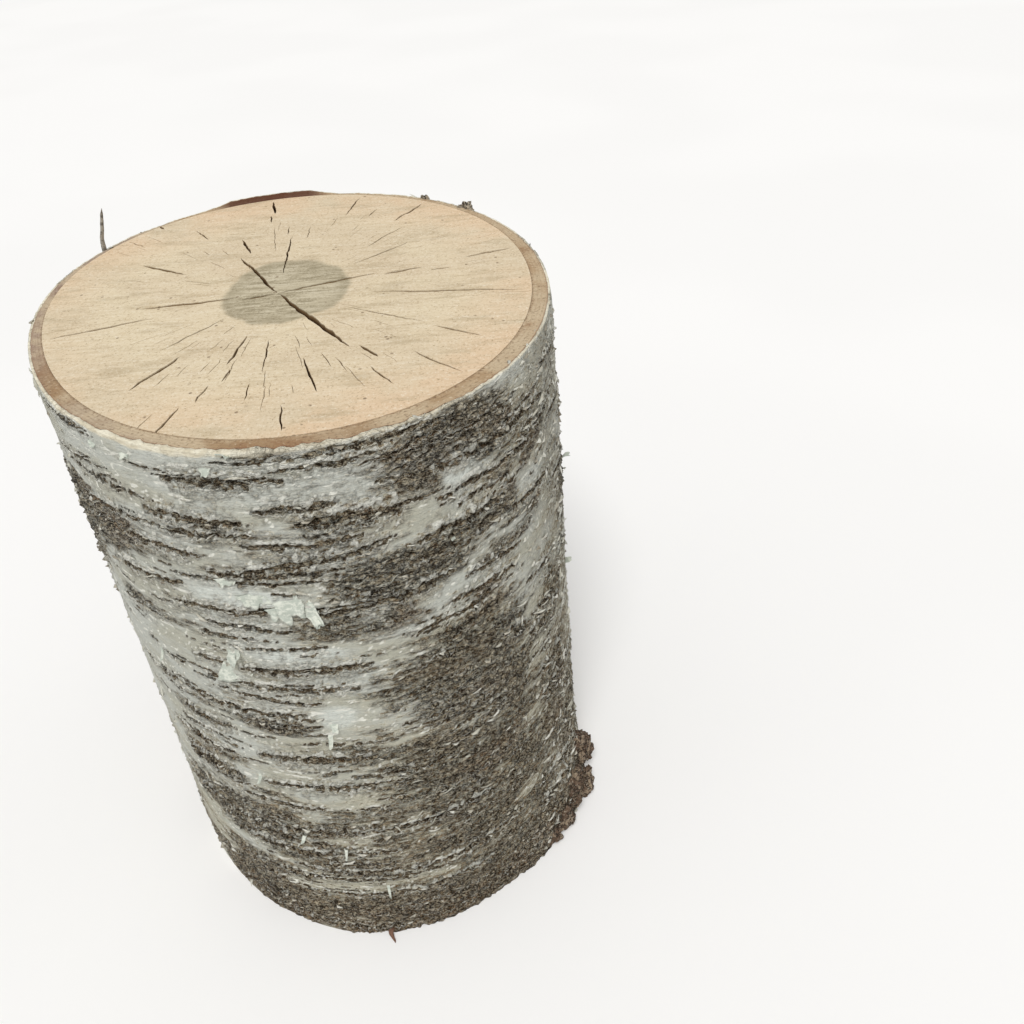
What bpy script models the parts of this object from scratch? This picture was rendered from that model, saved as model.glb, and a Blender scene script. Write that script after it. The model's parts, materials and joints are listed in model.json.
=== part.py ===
"""A short round of birch trunk, sawn flat at both ends, standing on one of them.

Two solids: the wood, with the drying checks that open in its two sawn ends, and the bark, a sleeve
that grew round it, with its rows of raised bands, rough zones, burrs, torn root flare and loose sheets.
Metres, +Z up, the lower sawn end on the floor, the origin under the middle of the whole shape.
"""

import math
import random

import bmesh
import bpy
from mathutils import Vector, noise

# Driving dimensions
HEIGHT = 0.345            # between the two saw cuts
RADIUS = 0.1392           # mean radius over the bark at the upper cut
SPREAD = 0.0075           # how much wider the round is at the floor
OVAL = 0.0113             # the section is longer front to back by twice this
OVAL_TURN = math.radians(-73.4)
EGG = 0.0014
EGG_TURN = math.radians(38.8)
PITH = Vector((-0.008, -0.004))   # where the growth rings start, off the round's axis
AXIS = Vector((-0.0031, 0.0049))  # the round's axis, off the middle of the box
BARK_MEAN = 0.0068        # bark thickness, and how much it grows towards the thick side
BARK_SWING = 0.0036
BARK_THICK_SIDE = math.radians(-62)
GAP = 0.0003              # kept between bark and wood

# The bark's mesh: each second row is a groove between two raised bands
COLUMNS = 80
ROWS = 40
BAND_HEIGHT = 0.0017
BAND_WAVE = 0.0016        # how far a band wanders up and down, and the length of one such bend
BAND_BEND = 0.05
BAND_STRENGTH = 0.45      # mean share of its height that a band has, and how much that varies
BAND_BREAK = 1.5
BAND_GRAIN = 0.045        # length of one stretch of a band
RIM_RAGGED = 0.0006       # unevenness of the bark's upper edge, its grain, and how far it sits below the cut
RIM_GRAIN = 0.012
RIM_SUNK = 0.8

# Relief of the scaly zones: its height, its grain, its mean lift, and how fast a zone fades at its edge
ROUGH_HEIGHT = 0.0034
ROUGH_GRAIN = 0.011
ROUGH_LIFT = 0.25
ROUGH_REACH = 1.25
ROUGH_FADE = 3

# Scaly zones of the bark: middle angle, middle height, half width and half height; and the wobble
# of their edges
ROUGH_ZONES = (
    (-62, 0.170, 17, 0.175),
    (-150, 0.260, 30, 0.040),
    (-112, 0.092, 20, 0.022),
    (-75, 0.020, 60, 0.032),
    (35, 0.120, 28, 0.110),
    (120, 0.210, 26, 0.090),
    (170, 0.050, 34, 0.040),
)
ZONE_WOBBLE = 0.5
ZONE_GRAIN = 0.035

# Torn root flare at the foot: angle, reach, half width, height
FLARES = (
    (-27, 0.0095, 13, 0.042),
    (-46, 0.0040, 9, 0.030),
    (160, 0.0030, 16, 0.035),
)

# Drying checks of the upper end: angle round the pith, start, end and width, lengths in millimetres
UPPER_CHECKS = (
    (-56, 0, 78, 3.0), (119, 0, 59, 2.2), (20, 0, 53, 1.7), (196, 0, 18, 1.7),
    (-53, 79, 95, 2.0), (113, 61, 86, 1.7), (16, 55, 77, 1.6), (187, 21, 68, 1.8),
    (149, 63, 96, 2.0), (100, 121, 143, 2.0), (78, 110, 140, 1.4), (60, 106, 138, 1.8),
    (42, 47, 88, 1.5), (18, 99, 124, 1.6), (-7, 48, 120, 1.5), (-30, 42, 89, 1.4),
    (-31, 95, 121, 1.6), (-45, 102, 128, 1.4), (-72, 75, 109, 1.3), (-80, 113, 135, 1.5),
    (-98, 46, 75, 1.9), (-102, 110, 133, 1.7), (242, 70, 103, 1.9), (230, 32, 71, 1.5),
    (199, 59, 108, 1.6), (93, 26, 79, 1.4), (129, 135, 142, 1.6),
)
LOWER_CHECK_COUNT = 15
LOWER_CHECK_SEED = 12
LOWER_CHECK_STRAY = 0.3           # how far one strays from an even spacing
LOWER_CHECK_START = (14, 60)      # ranges in millimetres
LOWER_CHECK_LENGTH = (28, 62)
LOWER_CHECK_WIDTH = (1.3, 2.2)
CHECK_DEPTH_RATIO = 9     # a check is this many times deeper than it is wide
CHECK_WANDER = 0.0011
CHECK_STATION = 0.012     # length of one straight stretch of a check
CHECK_TAPER = 0.6         # how bluntly a check's ends close
CHECK_CLEAR = 0.0005      # how far its blade stands out of the sawn face

# Burrs and torn lumps on the bark: angle, height, how far the middle stands off the surface, radius
BURRS = (
    (50, 0.341, 0.0010, 0.0078),
    (46.5, 0.336, 0.0010, 0.0066),
    (53, 0.334, 0.0000, 0.0070),
    (63.5, 0.3425, 0.0000, 0.0044),
    (136.5, 0.3405, 0.0000, 0.0046),
    (141, 0.338, 0.0000, 0.0050),
    (-22, 0.040, 0.0000, 0.0120),
    (-30, 0.024, 0.0010, 0.0130),
    (-19, 0.018, 0.0010, 0.0125),
    (-37, 0.010, 0.0010, 0.0110),
    (-26, 0.006, 0.0020, 0.0120),
)
BURR_FLATNESS = 0.62      # a burr's thickness against its width
BURR_KNOBS = 0.6          # depth and number of its knobs
BURR_KNOB_COUNT = 1.8
BURR_ABOVE_WOOD = 0.0012  # least depth of bark left under a burr

# Loose sheets of bark: angle, height of the root, how far the tip is above it, width at the root,
# the tip's width as a share of that, how far the tip stands off
SHEETS = (
    (-101.6, 0.2355, -0.0215, 0.0045, 2.40, 0.0050),
    (-93.5, 0.2710, -0.0062, 0.0230, 0.80, 0.0040),
    (-88.4, 0.2690, -0.0055, 0.0170, 0.60, 0.0040),
    (-86.8, 0.2610, -0.0110, 0.0060, 0.60, 0.0045),
    (-86.0, 0.1900, -0.0065, 0.0070, 0.50, 0.0035),
    (-12.0, 0.2480, 0.0075, 0.0090, 0.50, 0.0060),
    (-8.0, 0.1650, 0.0065, 0.0080, 0.50, 0.0055),
    (172.0, 0.1300, -0.0065, 0.0150, 0.60, 0.0050),
    (96.0, 0.2350, -0.0065, 0.0180, 0.60, 0.0050),
    (28.0, 0.2750, -0.0065, 0.0130, 0.60, 0.0050),
)
SHEET_THICK = 0.0012
SHEET_ROOT = 0.0022       # how deep a sheet's root is sunk in the bark
SHEET_BEND = 1.7          # how late along its length it bends away

# The thin strip of bark that stands up past the upper rim and leans in over the cut
STRIP_ANGLE = 148.4
STRIP_ROOT = 0.322
STRIP_TIP = 0.369
STRIP_SUNK = 0.0006
STRIP_LEAN = -0.0070      # outwards and round the trunk, at its tip
STRIP_DRIFT = -0.0045
STRIP_WIDTH = 0.0044
STRIP_THICK = 0.0024
STRIP_TAPER = 0.55

# The ledge of bark that stands above the cut at the back
LEDGE_ANGLE = 104
LEDGE_HALF = 13
LEDGE_RISE = 0.0030

# A splinter of bark bent out on the floor at the front
SPLINTER_ANGLE = -85.3
SPLINTER_REACH = 0.0085
SPLINTER_ROOT = 0.0040
SPLINTER_HALF_WIDTH = 0.0040
SPLINTER_HALF_THICK = 0.0030


def outline(angle):
    """Radius over the bark at the upper cut."""
    oval = OVAL * math.cos(2 * (angle - OVAL_TURN))
    egg = EGG * math.cos(3 * (angle - EGG_TURN))
    return RADIUS + oval + egg


def spread(z):
    """What the round gains in radius towards the floor."""
    return SPREAD * (1 - z / HEIGHT)


def bark_thickness(angle):
    return BARK_MEAN + BARK_SWING * math.cos(angle - BARK_THICK_SIDE)


def place(angle, radius, z):
    return Vector((AXIS.x + radius * math.cos(angle), AXIS.y + radius * math.sin(angle), z))


def turn_between(angle, degrees):
    """Smallest turn, in degrees, from a fixed direction to an angle in radians."""
    return (math.degrees(angle) - degrees + 180) % 360 - 180


def bell(distance, half):
    return math.exp(-(distance / half) ** 2)


def wood_noise(angle, z, grain, seed):
    """Smooth noise that closes on itself round the trunk; grain is its size in metres."""
    point = Vector((RADIUS * math.cos(angle), RADIUS * math.sin(angle), z)) / grain
    return noise.noise(point + Vector((seed * 7.3, seed * 3.1, seed * 5.7)))


def roughness(angle, z):
    """How scaly the bark is, 0 on smooth paper bark and 1 in a rough zone."""
    wobble = 1 + ZONE_WOBBLE * wood_noise(angle, z, ZONE_GRAIN, 4)
    most = 0.0
    for middle, height, half_turn, half_height in ROUGH_ZONES:
        across = turn_between(angle, middle) / half_turn
        up = (z - height) / half_height
        inside = ROUGH_REACH - (across ** 4 + up ** 4) ** 0.25 * wobble
        most = max(most, min(1.0, ROUGH_FADE * inside))
    return most


def flare(angle, z):
    total = 0.0
    for middle, reach, half_turn, height in FLARES:
        total += reach * bell(turn_between(angle, middle), half_turn) * bell(z, height)
    return total


def band_relief(row, angle, z):
    """Raised bands with grooves between them, broken up along their length."""
    strength = BAND_STRENGTH + BAND_BREAK * wood_noise(angle, z, BAND_GRAIN, row // 2 + 20)
    side = 1 if row % 2 else -1
    return side * BAND_HEIGHT * min(1.0, max(0.05, strength))


def bark_surface(angle, z, row=None):
    """Radius over the bark at a height, with its relief where a mesh row is named."""
    radius = outline(angle) + spread(z) + flare(angle, z)
    if row is None:
        return radius
    scaly = roughness(angle, z)
    radius += band_relief(row, angle, z) * (1 - 0.5 * scaly)
    radius += scaly * ROUGH_HEIGHT * (ROUGH_LIFT + wood_noise(angle, z, ROUGH_GRAIN, 9))
    return radius


def rim_height(angle):
    """Upper edge of the bark: a little ragged, with a ledge standing up at the back."""
    ragged = RIM_RAGGED * (wood_noise(angle, HEIGHT, RIM_GRAIN, 2) - RIM_SUNK)
    ledge = LEDGE_RISE * min(1.0, 3 * bell(turn_between(angle, LEDGE_ANGLE), LEDGE_HALF) ** 2)
    return HEIGHT + ragged + ledge


def add_object(name, bm):
    """Make an object of a finished bmesh, with its faces pointing out."""
    bmesh.ops.recalc_face_normals(bm, faces=bm.faces)
    mesh = bpy.data.meshes.new(name)
    bm.to_mesh(mesh)
    bm.free()
    item = bpy.data.objects.new(name, mesh)
    bpy.context.scene.collection.objects.link(item)
    return item


def join_ring(bm, lower, upper):
    """Close the strip between two rings of the same number of vertices."""
    count = len(lower)
    for i in range(count):
        k = (i + 1) % count
        bm.faces.new((lower[i], lower[k], upper[k], upper[i]))


def column_angles():
    return [2 * math.pi * i / COLUMNS for i in range(COLUMNS)]


def build_wood_body():
    """The sawn cylinder of wood, a flat face at each end."""
    bm = bmesh.new()
    rings = []
    for z in (0.0, HEIGHT):
        ring = [bm.verts.new(place(a, outline(a) + spread(z) - bark_thickness(a), z))
                for a in column_angles()]
        rings.append(ring)
    join_ring(bm, rings[0], rings[1])
    for ring in rings:
        bm.faces.new(ring)
    return add_object("wood", bm)


def check_blade(name, angle, start, end, width, level, way, rng):
    """A long wedge, widest at the sawn face and closing to a keel, that opens one check.

    level is the height of the sawn face, and way is -1 for a check that opens upwards.
    """
    bm = bmesh.new()
    stations = max(3, round((end - start) / CHECK_STATION))
    along = Vector((math.cos(angle), math.sin(angle)))
    across = Vector((-along.y, along.x))
    face = level - way * CHECK_CLEAR
    rows = []
    for i in range(stations + 1):
        share = i / stations
        fullness = math.sin(math.pi * share) ** CHECK_TAPER if 0 < i < stations else 0.0
        drift = CHECK_WANDER * rng.uniform(-1, 1) * fullness
        spot = PITH + AXIS + along * (start + (end - start) * share) + across * drift
        half = 0.5 * width * fullness * rng.uniform(0.8, 1.1)
        if fullness == 0.0:
            rows.append([bm.verts.new((spot.x, spot.y, face))])
            continue
        left = spot + across * half
        right = spot - across * half
        keel_depth = width * CHECK_DEPTH_RATIO * fullness
        rows.append([bm.verts.new((left.x, left.y, face)),
                     bm.verts.new((right.x, right.y, face)),
                     bm.verts.new((spot.x, spot.y, level + way * keel_depth))])
    for near, far in zip(rows, rows[1:]):
        for a, b in ((0, 1), (1, 2), (2, 0)):
            if len(near) == 1:
                bm.faces.new((near[0], far[a], far[b]))
            elif len(far) == 1:
                bm.faces.new((near[a], far[0], near[b]))
            else:
                bm.faces.new((near[a], far[a], far[b], near[b]))
    return add_object(name, bm)


def lower_checks(rng):
    """The lower end's checks, spread round the pith by a rule, clear of its middle."""
    for i in range(LOWER_CHECK_COUNT):
        angle = 360 * (i + rng.uniform(-LOWER_CHECK_STRAY, LOWER_CHECK_STRAY)) / LOWER_CHECK_COUNT
        start = rng.uniform(*LOWER_CHECK_START)
        yield angle, start, start + rng.uniform(*LOWER_CHECK_LENGTH), rng.uniform(*LOWER_CHECK_WIDTH)


def cut_checks(wood):
    """Open the checks in both ends of the wood."""
    rng = random.Random(LOWER_CHECK_SEED)
    blades = bpy.data.collections.new("check blades")
    bpy.context.scene.collection.children.link(blades)
    ends = ((UPPER_CHECKS, HEIGHT, -1), (tuple(lower_checks(rng)), 0.0, 1))
    for checks, level, way in ends:
        for number, (degrees, start, end, width) in enumerate(checks):
            blade = check_blade(f"blade {number}", math.radians(degrees),
                                start / 1000, end / 1000, width / 1000, level, way, rng)
            hand_over(blade, blades)
    apply_boolean(wood, blades, "DIFFERENCE")


def hand_over(item, collection):
    """Move an object out of the scene's own collection into a working one."""
    collection.objects.link(item)
    bpy.context.scene.collection.objects.unlink(item)
    item.hide_render = True
    item.display_type = "WIRE"


def apply_boolean(item, collection, operation):
    """Cut or fuse a whole collection into an object, then remove the collection's objects."""
    modifier = item.modifiers.new("work", "BOOLEAN")
    modifier.operation = operation
    modifier.operand_type = "COLLECTION"
    modifier.solver = "EXACT"
    modifier.collection = collection
    finished = item.evaluated_get(bpy.context.evaluated_depsgraph_get())
    mesh = bpy.data.meshes.new_from_object(finished)
    mesh.name = item.name
    item.modifiers.clear()
    item.data = mesh
    for tool in list(collection.objects):
        bpy.data.objects.remove(tool)
    bpy.data.collections.remove(collection)


def build_bark_body():
    """The sleeve of bark: relief outside, a plain wall next to the wood."""
    bm = bmesh.new()
    angles = column_angles()
    outer = []
    for row in range(ROWS + 1):
        share = row / ROWS
        fade = min(1.0, row, ROWS - row)
        ring = []
        for a in angles:
            top = rim_height(a)
            z = share * top + fade * BAND_WAVE * wood_noise(a, share, BAND_BEND, row)
            ring.append(bm.verts.new(place(a, bark_surface(a, z, row), z)))
        outer.append(ring)
    for lower, upper in zip(outer, outer[1:]):
        join_ring(bm, lower, upper)
    inner = []
    for level in (0.0, HEIGHT):
        ring = []
        for a in angles:
            radius = outline(a) + spread(level) - bark_thickness(a) + GAP
            ring.append(bm.verts.new(place(a, radius, rim_height(a) if level else 0.0)))
        inner.append(ring)
    join_ring(bm, inner[0], inner[1])
    join_ring(bm, outer[0], inner[0])
    join_ring(bm, outer[-1], inner[1])
    bmesh.ops.triangulate(bm, faces=bm.faces)
    return add_object("bark", bm)


def keep_in_bark(point):
    """Move a point out of the wood and up to the floor."""
    flat = point.xy - AXIS
    angle = math.atan2(flat.y, flat.x)
    level = min(max(point.z, 0.0), HEIGHT)
    least = outline(angle) + spread(level) - bark_thickness(angle) + BURR_ABOVE_WOOD
    return place(angle, max(flat.length, least), max(point.z, 0.0))


def burr(number, degrees, z, stand_off, radius):
    """A knobbly lump of bark, its inner half sunk in the sleeve."""
    angle = math.radians(degrees)
    bm = bmesh.new()
    bmesh.ops.create_icosphere(bm, subdivisions=2, radius=radius)
    middle = place(angle, bark_surface(angle, z) + stand_off, z)
    outward = Vector((math.cos(angle), math.sin(angle), 0))
    for vert in bm.verts:
        spot = vert.co / radius * BURR_KNOB_COUNT + Vector((number * 4.1, 0, 0))
        knob = 1 + BURR_KNOBS * noise.noise(spot)
        flat = vert.co - outward * vert.co.dot(outward) * (1 - BURR_FLATNESS)
        vert.co = keep_in_bark(middle + flat * knob)
    return add_object("burr", bm)


def ribbon(name, stations):
    """A closed four-sided strip through stations of (middle, along the width, across it)."""
    bm = bmesh.new()
    rings = []
    for middle, wide, thick in stations:
        rings.append([bm.verts.new(middle + wide + thick), bm.verts.new(middle - wide + thick),
                      bm.verts.new(middle - wide - thick), bm.verts.new(middle + wide - thick)])
    for lower, upper in zip(rings, rings[1:]):
        join_ring(bm, lower, upper)
    bm.faces.new(rings[0])
    bm.faces.new(rings[-1])
    bmesh.ops.triangulate(bm, faces=bm.faces)
    return add_object(name, bm)


def loose_sheet(degrees, root, rise, width, tip_share, reach):
    """A torn sheet of bark: rooted along one edge, its tip bending away from the trunk."""
    angle = math.radians(degrees)
    tangent = Vector((-math.sin(angle), math.cos(angle), 0))
    outward = Vector((math.cos(angle), math.sin(angle), 0))
    stations = []
    for step in range(5):
        share = step / 4
        z = root + rise * share
        radius = bark_surface(angle, z) - SHEET_ROOT + (reach + SHEET_ROOT) * share ** SHEET_BEND
        half = 0.5 * width * (1 + (tip_share - 1) * share)
        stations.append((place(angle, radius, z), tangent * half, outward * SHEET_THICK * 0.5))
    return ribbon("sheet", stations)


def standing_strip():
    """The thin strip that stands up from the outside of the bark past the rim."""
    angle = math.radians(STRIP_ANGLE)
    tangent = Vector((-math.sin(angle), math.cos(angle), 0))
    outward = Vector((math.cos(angle), math.sin(angle), 0))
    stations = []
    for step in range(8):
        share = step / 7
        z = STRIP_ROOT + (STRIP_TIP - STRIP_ROOT) * share
        bent = share ** 3
        radius = bark_surface(angle, HEIGHT) - STRIP_SUNK + STRIP_LEAN * bent
        middle = place(angle, radius, z) + tangent * STRIP_DRIFT * bent
        narrow = 1 - STRIP_TAPER * share
        stations.append((middle, tangent * 0.5 * STRIP_WIDTH * narrow,
                         outward * 0.5 * STRIP_THICK * narrow))
    return ribbon("strip", stations)


def floor_splinter():
    """The splinter bent out at the foot; its underside lies on the floor."""
    angle = math.radians(SPLINTER_ANGLE)
    tangent = Vector((-math.sin(angle), math.cos(angle), 0))
    stations = []
    for step in range(4):
        share = step / 3
        radius = bark_surface(angle, 0) - SPLINTER_ROOT + (SPLINTER_REACH + SPLINTER_ROOT) * share
        rise = SPLINTER_HALF_THICK * (1 - 0.7 * share)
        half = SPLINTER_HALF_WIDTH * (1 - 0.8 * share)
        stations.append((place(angle, radius, rise), tangent * half, Vector((0, 0, rise))))
    return ribbon("splinter", stations)


def fuse_bark_details(bark):
    details = bpy.data.collections.new("bark details")
    bpy.context.scene.collection.children.link(details)
    for number, row in enumerate(BURRS):
        hand_over(burr(number, *row), details)
    for row in SHEETS:
        hand_over(loose_sheet(*row), details)
    hand_over(standing_strip(), details)
    hand_over(floor_splinter(), details)
    apply_boolean(bark, details, "UNION")


def finish(item, colour, rough):
    """Smooth shading with crisp torn edges, and the piece's own plain material."""
    material = bpy.data.materials.new(item.name)
    material.use_nodes = True
    shader = material.node_tree.nodes["Principled BSDF"]
    shader.inputs["Base Color"].default_value = (*colour, 1)
    shader.inputs["Roughness"].default_value = rough
    shader.inputs["Metallic"].default_value = 0.0
    item.data.materials.clear()
    item.data.materials.append(material)
    item.data.shade_smooth()
    item.data.set_sharp_from_angle(angle=math.radians(35))


def clear_scene():
    for item in list(bpy.data.objects):
        bpy.data.objects.remove(item)


clear_scene()
wood = build_wood_body()
cut_checks(wood)
finish(wood, (0.74, 0.60, 0.40), 0.75)
bark = build_bark_body()
fuse_bark_details(bark)
finish(bark, (0.42, 0.42, 0.38), 0.85)
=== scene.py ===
import json
import math
import random

import bmesh
import bpy
import numpy as np
from mathutils import Matrix, Vector, noise
from mathutils.geometry import delaunay_2d_cdt

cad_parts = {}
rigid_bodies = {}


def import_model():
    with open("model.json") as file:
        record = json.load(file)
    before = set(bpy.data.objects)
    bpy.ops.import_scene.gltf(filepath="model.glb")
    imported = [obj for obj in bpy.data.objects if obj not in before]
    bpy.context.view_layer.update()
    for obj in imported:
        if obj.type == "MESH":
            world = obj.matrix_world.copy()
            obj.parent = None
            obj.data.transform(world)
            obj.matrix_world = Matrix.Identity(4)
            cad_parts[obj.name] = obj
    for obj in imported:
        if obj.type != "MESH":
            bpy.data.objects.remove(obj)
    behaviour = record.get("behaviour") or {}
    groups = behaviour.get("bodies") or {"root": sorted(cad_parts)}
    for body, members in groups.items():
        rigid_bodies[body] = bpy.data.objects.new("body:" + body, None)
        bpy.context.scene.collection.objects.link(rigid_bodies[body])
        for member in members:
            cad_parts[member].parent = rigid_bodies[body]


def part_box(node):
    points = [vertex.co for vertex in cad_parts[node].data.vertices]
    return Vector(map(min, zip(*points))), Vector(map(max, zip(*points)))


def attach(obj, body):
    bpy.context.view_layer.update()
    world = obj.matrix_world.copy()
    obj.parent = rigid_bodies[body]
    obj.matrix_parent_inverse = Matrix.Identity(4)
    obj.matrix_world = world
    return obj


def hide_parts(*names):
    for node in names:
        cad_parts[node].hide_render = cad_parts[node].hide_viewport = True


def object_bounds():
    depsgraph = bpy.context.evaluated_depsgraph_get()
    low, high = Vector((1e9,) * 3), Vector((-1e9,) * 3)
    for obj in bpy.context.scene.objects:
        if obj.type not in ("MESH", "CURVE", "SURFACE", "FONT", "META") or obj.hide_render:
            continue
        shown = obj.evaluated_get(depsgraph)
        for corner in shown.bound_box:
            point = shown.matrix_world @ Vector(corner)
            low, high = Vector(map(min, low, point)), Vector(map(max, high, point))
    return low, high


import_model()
CAD_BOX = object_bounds()

# The trunk in metres, as its solids have it
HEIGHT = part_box("wood")[1].z
AXIS = np.array((-0.0031, 0.0049))
PITH = np.array((-0.0080, -0.0040))
RADIUS = 0.1392
SPREAD = 0.0075
OVAL = 0.0113
OVAL_TURN = math.radians(-73.4)
EGG = 0.0014
EGG_TURN = math.radians(38.8)
BARK_MEAN = 0.0068
BARK_SWING = 0.0036
BARK_THICK_SIDE = math.radians(-62)
LEDGE_ANGLE = 104
LEDGE_HALF = 13
LEDGE_RISE = 0.0030
MM = 0.001

# The bark's fine mesh
COLUMNS = 944
SECTORS = ("front", "right", "back", "left")
FIRST_SECTOR = -135          # degrees
LOW_ROWS = 296
RIM_ROWS = 38
RIM_SHARE = 0.94             # above this share of the height the rows lie closer
RIM_LIP = 0.0016             # least width of the pale papery edge round the cut
RIM_LIP_MORE = 0.0029        # how much wider it is at the front
RIM_LIP_FRONT = -86          # degrees

# Root flare at the foot: angle, reach, half width in degrees, height
FLARES = (
    (-27, 0.0095, 13, 0.042),
    (-46, 0.0040, 9, 0.030),
    (160, 0.0030, 16, 0.035),
)

# Scaly zones: middle angle and height, half width and half height in degrees and mm, strength
SCALY_ZONES = (
    (-60, 130, 20, 105, 0.80), (-52, 60, 18, 62, 0.75), (-58, 195, 16, 52, 0.85), (-66, 18, 50, 30, 0.90),
    (-106, 20, 36, 24, 0.75), (-57, 326, 17, 20, 0.95), (-40, 303, 14, 12, 0.60), (-69, 272, 14, 16, 0.95),
    (-50, 283, 12, 9, 0.70), (-77, 251, 13, 11, 0.75), (-78, 309, 9, 9, 0.75), (-131, 290, 17, 18, 1.0),
    (-150, 263, 18, 25, 1.0), (-172, 226, 18, 34, 0.9), (-113, 97, 22, 24, 0.95), (-120, 135, 12, 8, 0.85),
    (-96, 104, 14, 8, 0.80), (-98, 187, 9, 8, 0.85), (-112, 50, 14, 15, 0.80), (-100, 88, 16, 12, 0.75),
    (-118, 176, 12, 6, 0.50), (-115, 151, 12, 7, 0.50), (-76, 165, 15, 10, 0.70), (-72, 206, 10, 10, 0.65),
    (-90, 72, 24, 6, 0.50), (-119, 246, 12, 8, 0.45), (-33, 190, 9, 20, 0.65), (-33, 112, 11, 48, 0.70),
    (-82, 112, 13, 12, 0.62), (-86, 66, 16, 10, 0.62), (-77, 90, 10, 10, 0.60), (-100, 32, 20, 8, 0.55),
    (-93, 129, 12, 5, 0.48), (-22, 50, 14, 60, 0.85), (-84, 292, 14, 10, 0.50), (-98, 306, 12, 8, 0.45),
    (-44, 262, 12, 12, 0.55), (-12, 230, 14, 34, 0.70), (20, 60, 20, 50, 0.80), (38, 165, 24, 60, 0.90),
    (70, 290, 16, 26, 0.80), (118, 210, 26, 70, 0.90), (150, 60, 22, 40, 0.90), (88, 70, 16, 34, 0.70),
    (-178, 120, 12, 30, 0.60), (10, 290, 12, 26, 0.60), (165, 250, 14, 40, 0.60), (-150, 20, 20, 18, 0.60),
)

# Smooth papery patches, in the same form
SMOOTH_PATCHES = (
    (-123, 329, 30, 17, 1.0), (-152, 326, 24, 18, 1.0), (-97, 271, 11, 8, 1.0), (-57, 314, 4, 8, 1.0),
    (-90, 236, 11, 8, 0.9), (-85, 196, 6, 14, 0.8), (-130, 216, 22, 24, 0.9), (-33, 232, 9, 13, 0.9),
    (-37, 281, 8, 9, 0.9), (-96, 150, 10, 7, 0.7), (-92, 131, 10, 7, 0.8), (-55, 251, 12, 5, 0.6),
    (-98, 46, 14, 6, 0.7), (-150, 160, 24, 60, 0.9), (-26, 325, 11, 17, 0.9), (-90, 93, 6, 5, 0.6),
    (-48, 72, 7, 6, 0.6), (-62, 297, 6, 5, 0.8), (-88, 318, 8, 5, 0.5), (-113, 270, 9, 7, 0.8),
)

# Where a sheet has come off and the bark under it is fresh and pale, in the same form
FRESH_PATCHES = (
    (-96, 270, 11, 6, 1.0), (-57, 314, 4, 7, 1.0), (-89, 237, 9, 5, 0.9), (-37, 282, 6, 6, 0.8),
    (-85, 194, 4, 10, 0.8), (-102, 219, 4, 5, 0.6), (-33, 235, 6, 9, 0.6),
    (-92, 132, 7, 5, 0.4), (-150, 170, 20, 40, 0.5), (30, 230, 9, 8, 0.7), (95, 120, 12, 10, 0.6),
    (160, 170, 12, 14, 0.6), (60, 40, 10, 8, 0.5),
)

# Lenticel bands: start angle and height, end angle and height, thickness in mm
LENTICELS = (
    (-104, 331, -84, 332, 3.4), (-87, 336, -70, 337, 2.2), (-91, 343, -58, 341, 2.6),
    (-140, 318, -118, 325, 1.5), (-90, 317, -77, 318, 2.6), (-110, 312, -92, 311, 3.0),
    (-84, 310, -66, 308, 4.6), (-128, 301, -109, 304, 2.4), (-108, 303, -91, 305, 2.0),
    (-94, 299, -74, 300, 1.8), (-119, 292, -101, 292, 2.6), (-94, 286, -70, 294, 3.4),
    (-101, 283, -78, 284, 3.0), (-109, 279, -79, 279, 1.6), (-128, 266, -107, 272, 2.4),
    (-111, 261, -91, 262, 2.6), (-84, 259, -60, 263, 3.2), (-106, 253, -88, 252, 1.8),
    (-107, 245, -93, 245, 1.8), (-131, 239, -117, 243, 2.4), (-101, 240, -84, 240, 1.4),
    (-111, 226, -103, 226, 2.2), (-101, 225, -77, 226, 3.0), (-109, 214, -80, 213, 2.2),
    (-136, 191, -115, 195, 2.0), (-116, 194, -90, 196, 2.6), (-122, 175, -106, 177, 3.0),
    (-124, 163, -109, 166, 2.2), (-103, 162, -79, 163, 3.4), (-131, 147, -108, 155, 2.8),
    (-104, 139, -76, 141, 2.6), (-128, 131, -110, 137, 5.0), (-112, 121, -91, 122, 2.4),
    (-107, 101, -58, 101, 2.6), (-132, 96, -92, 90, 3.4), (-121, 79, -79, 81, 3.4),
    (-103, 64, -80, 64, 2.4), (-87, 59, -50, 60, 2.4), (-116, 54, -91, 57, 2.2),
    (-101, 41, -60, 40, 2.4), (-62, 319, -30, 317, 3.0), (-62, 304, -33, 303, 2.4),
    (-58, 297, -45, 295, 2.2), (-66, 288, -47, 287, 3.0), (-48, 275, -28, 271, 2.4),
    (-58, 256, -44, 252, 2.8), (-62, 246, -45, 242, 2.6), (-70, 238, -50, 237, 2.0),
    (-43, 224, -29, 219, 2.4), (-50, 203, -44, 199, 4.0), (-43, 188, -26, 182, 3.2),
    (-66, 164, -50, 166, 1.8), (-43, 152, -27, 146, 2.6), (-40, 131, -24, 124, 3.2),
    (-44, 60, -26, 52, 3.0), (-45, 44, -28, 38, 4.0), (-165, 165, -145, 180, 2.0),
    (-160, 100, -138, 112, 2.0), (-170, 310, -150, 318, 1.8), (-158, 216, -140, 228, 2.2),
    (-30, 262, -8, 248, 3.0), (-26, 208, -6, 196, 3.0), (-28, 168, -8, 158, 2.8),
    (-24, 118, -6, 108, 3.4), (-30, 330, -10, 322, 2.4), (-28, 300, -8, 290, 2.6),
)
HIDDEN_SIDE = (-12, 178)     # degrees between which the bands are only seeded
HIDDEN_BAND_STEP = 13        # mm between their rows
THIN_BANDS = 230             # all round, more of them low down
SMALL_BANDS = 620            # all round

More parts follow.
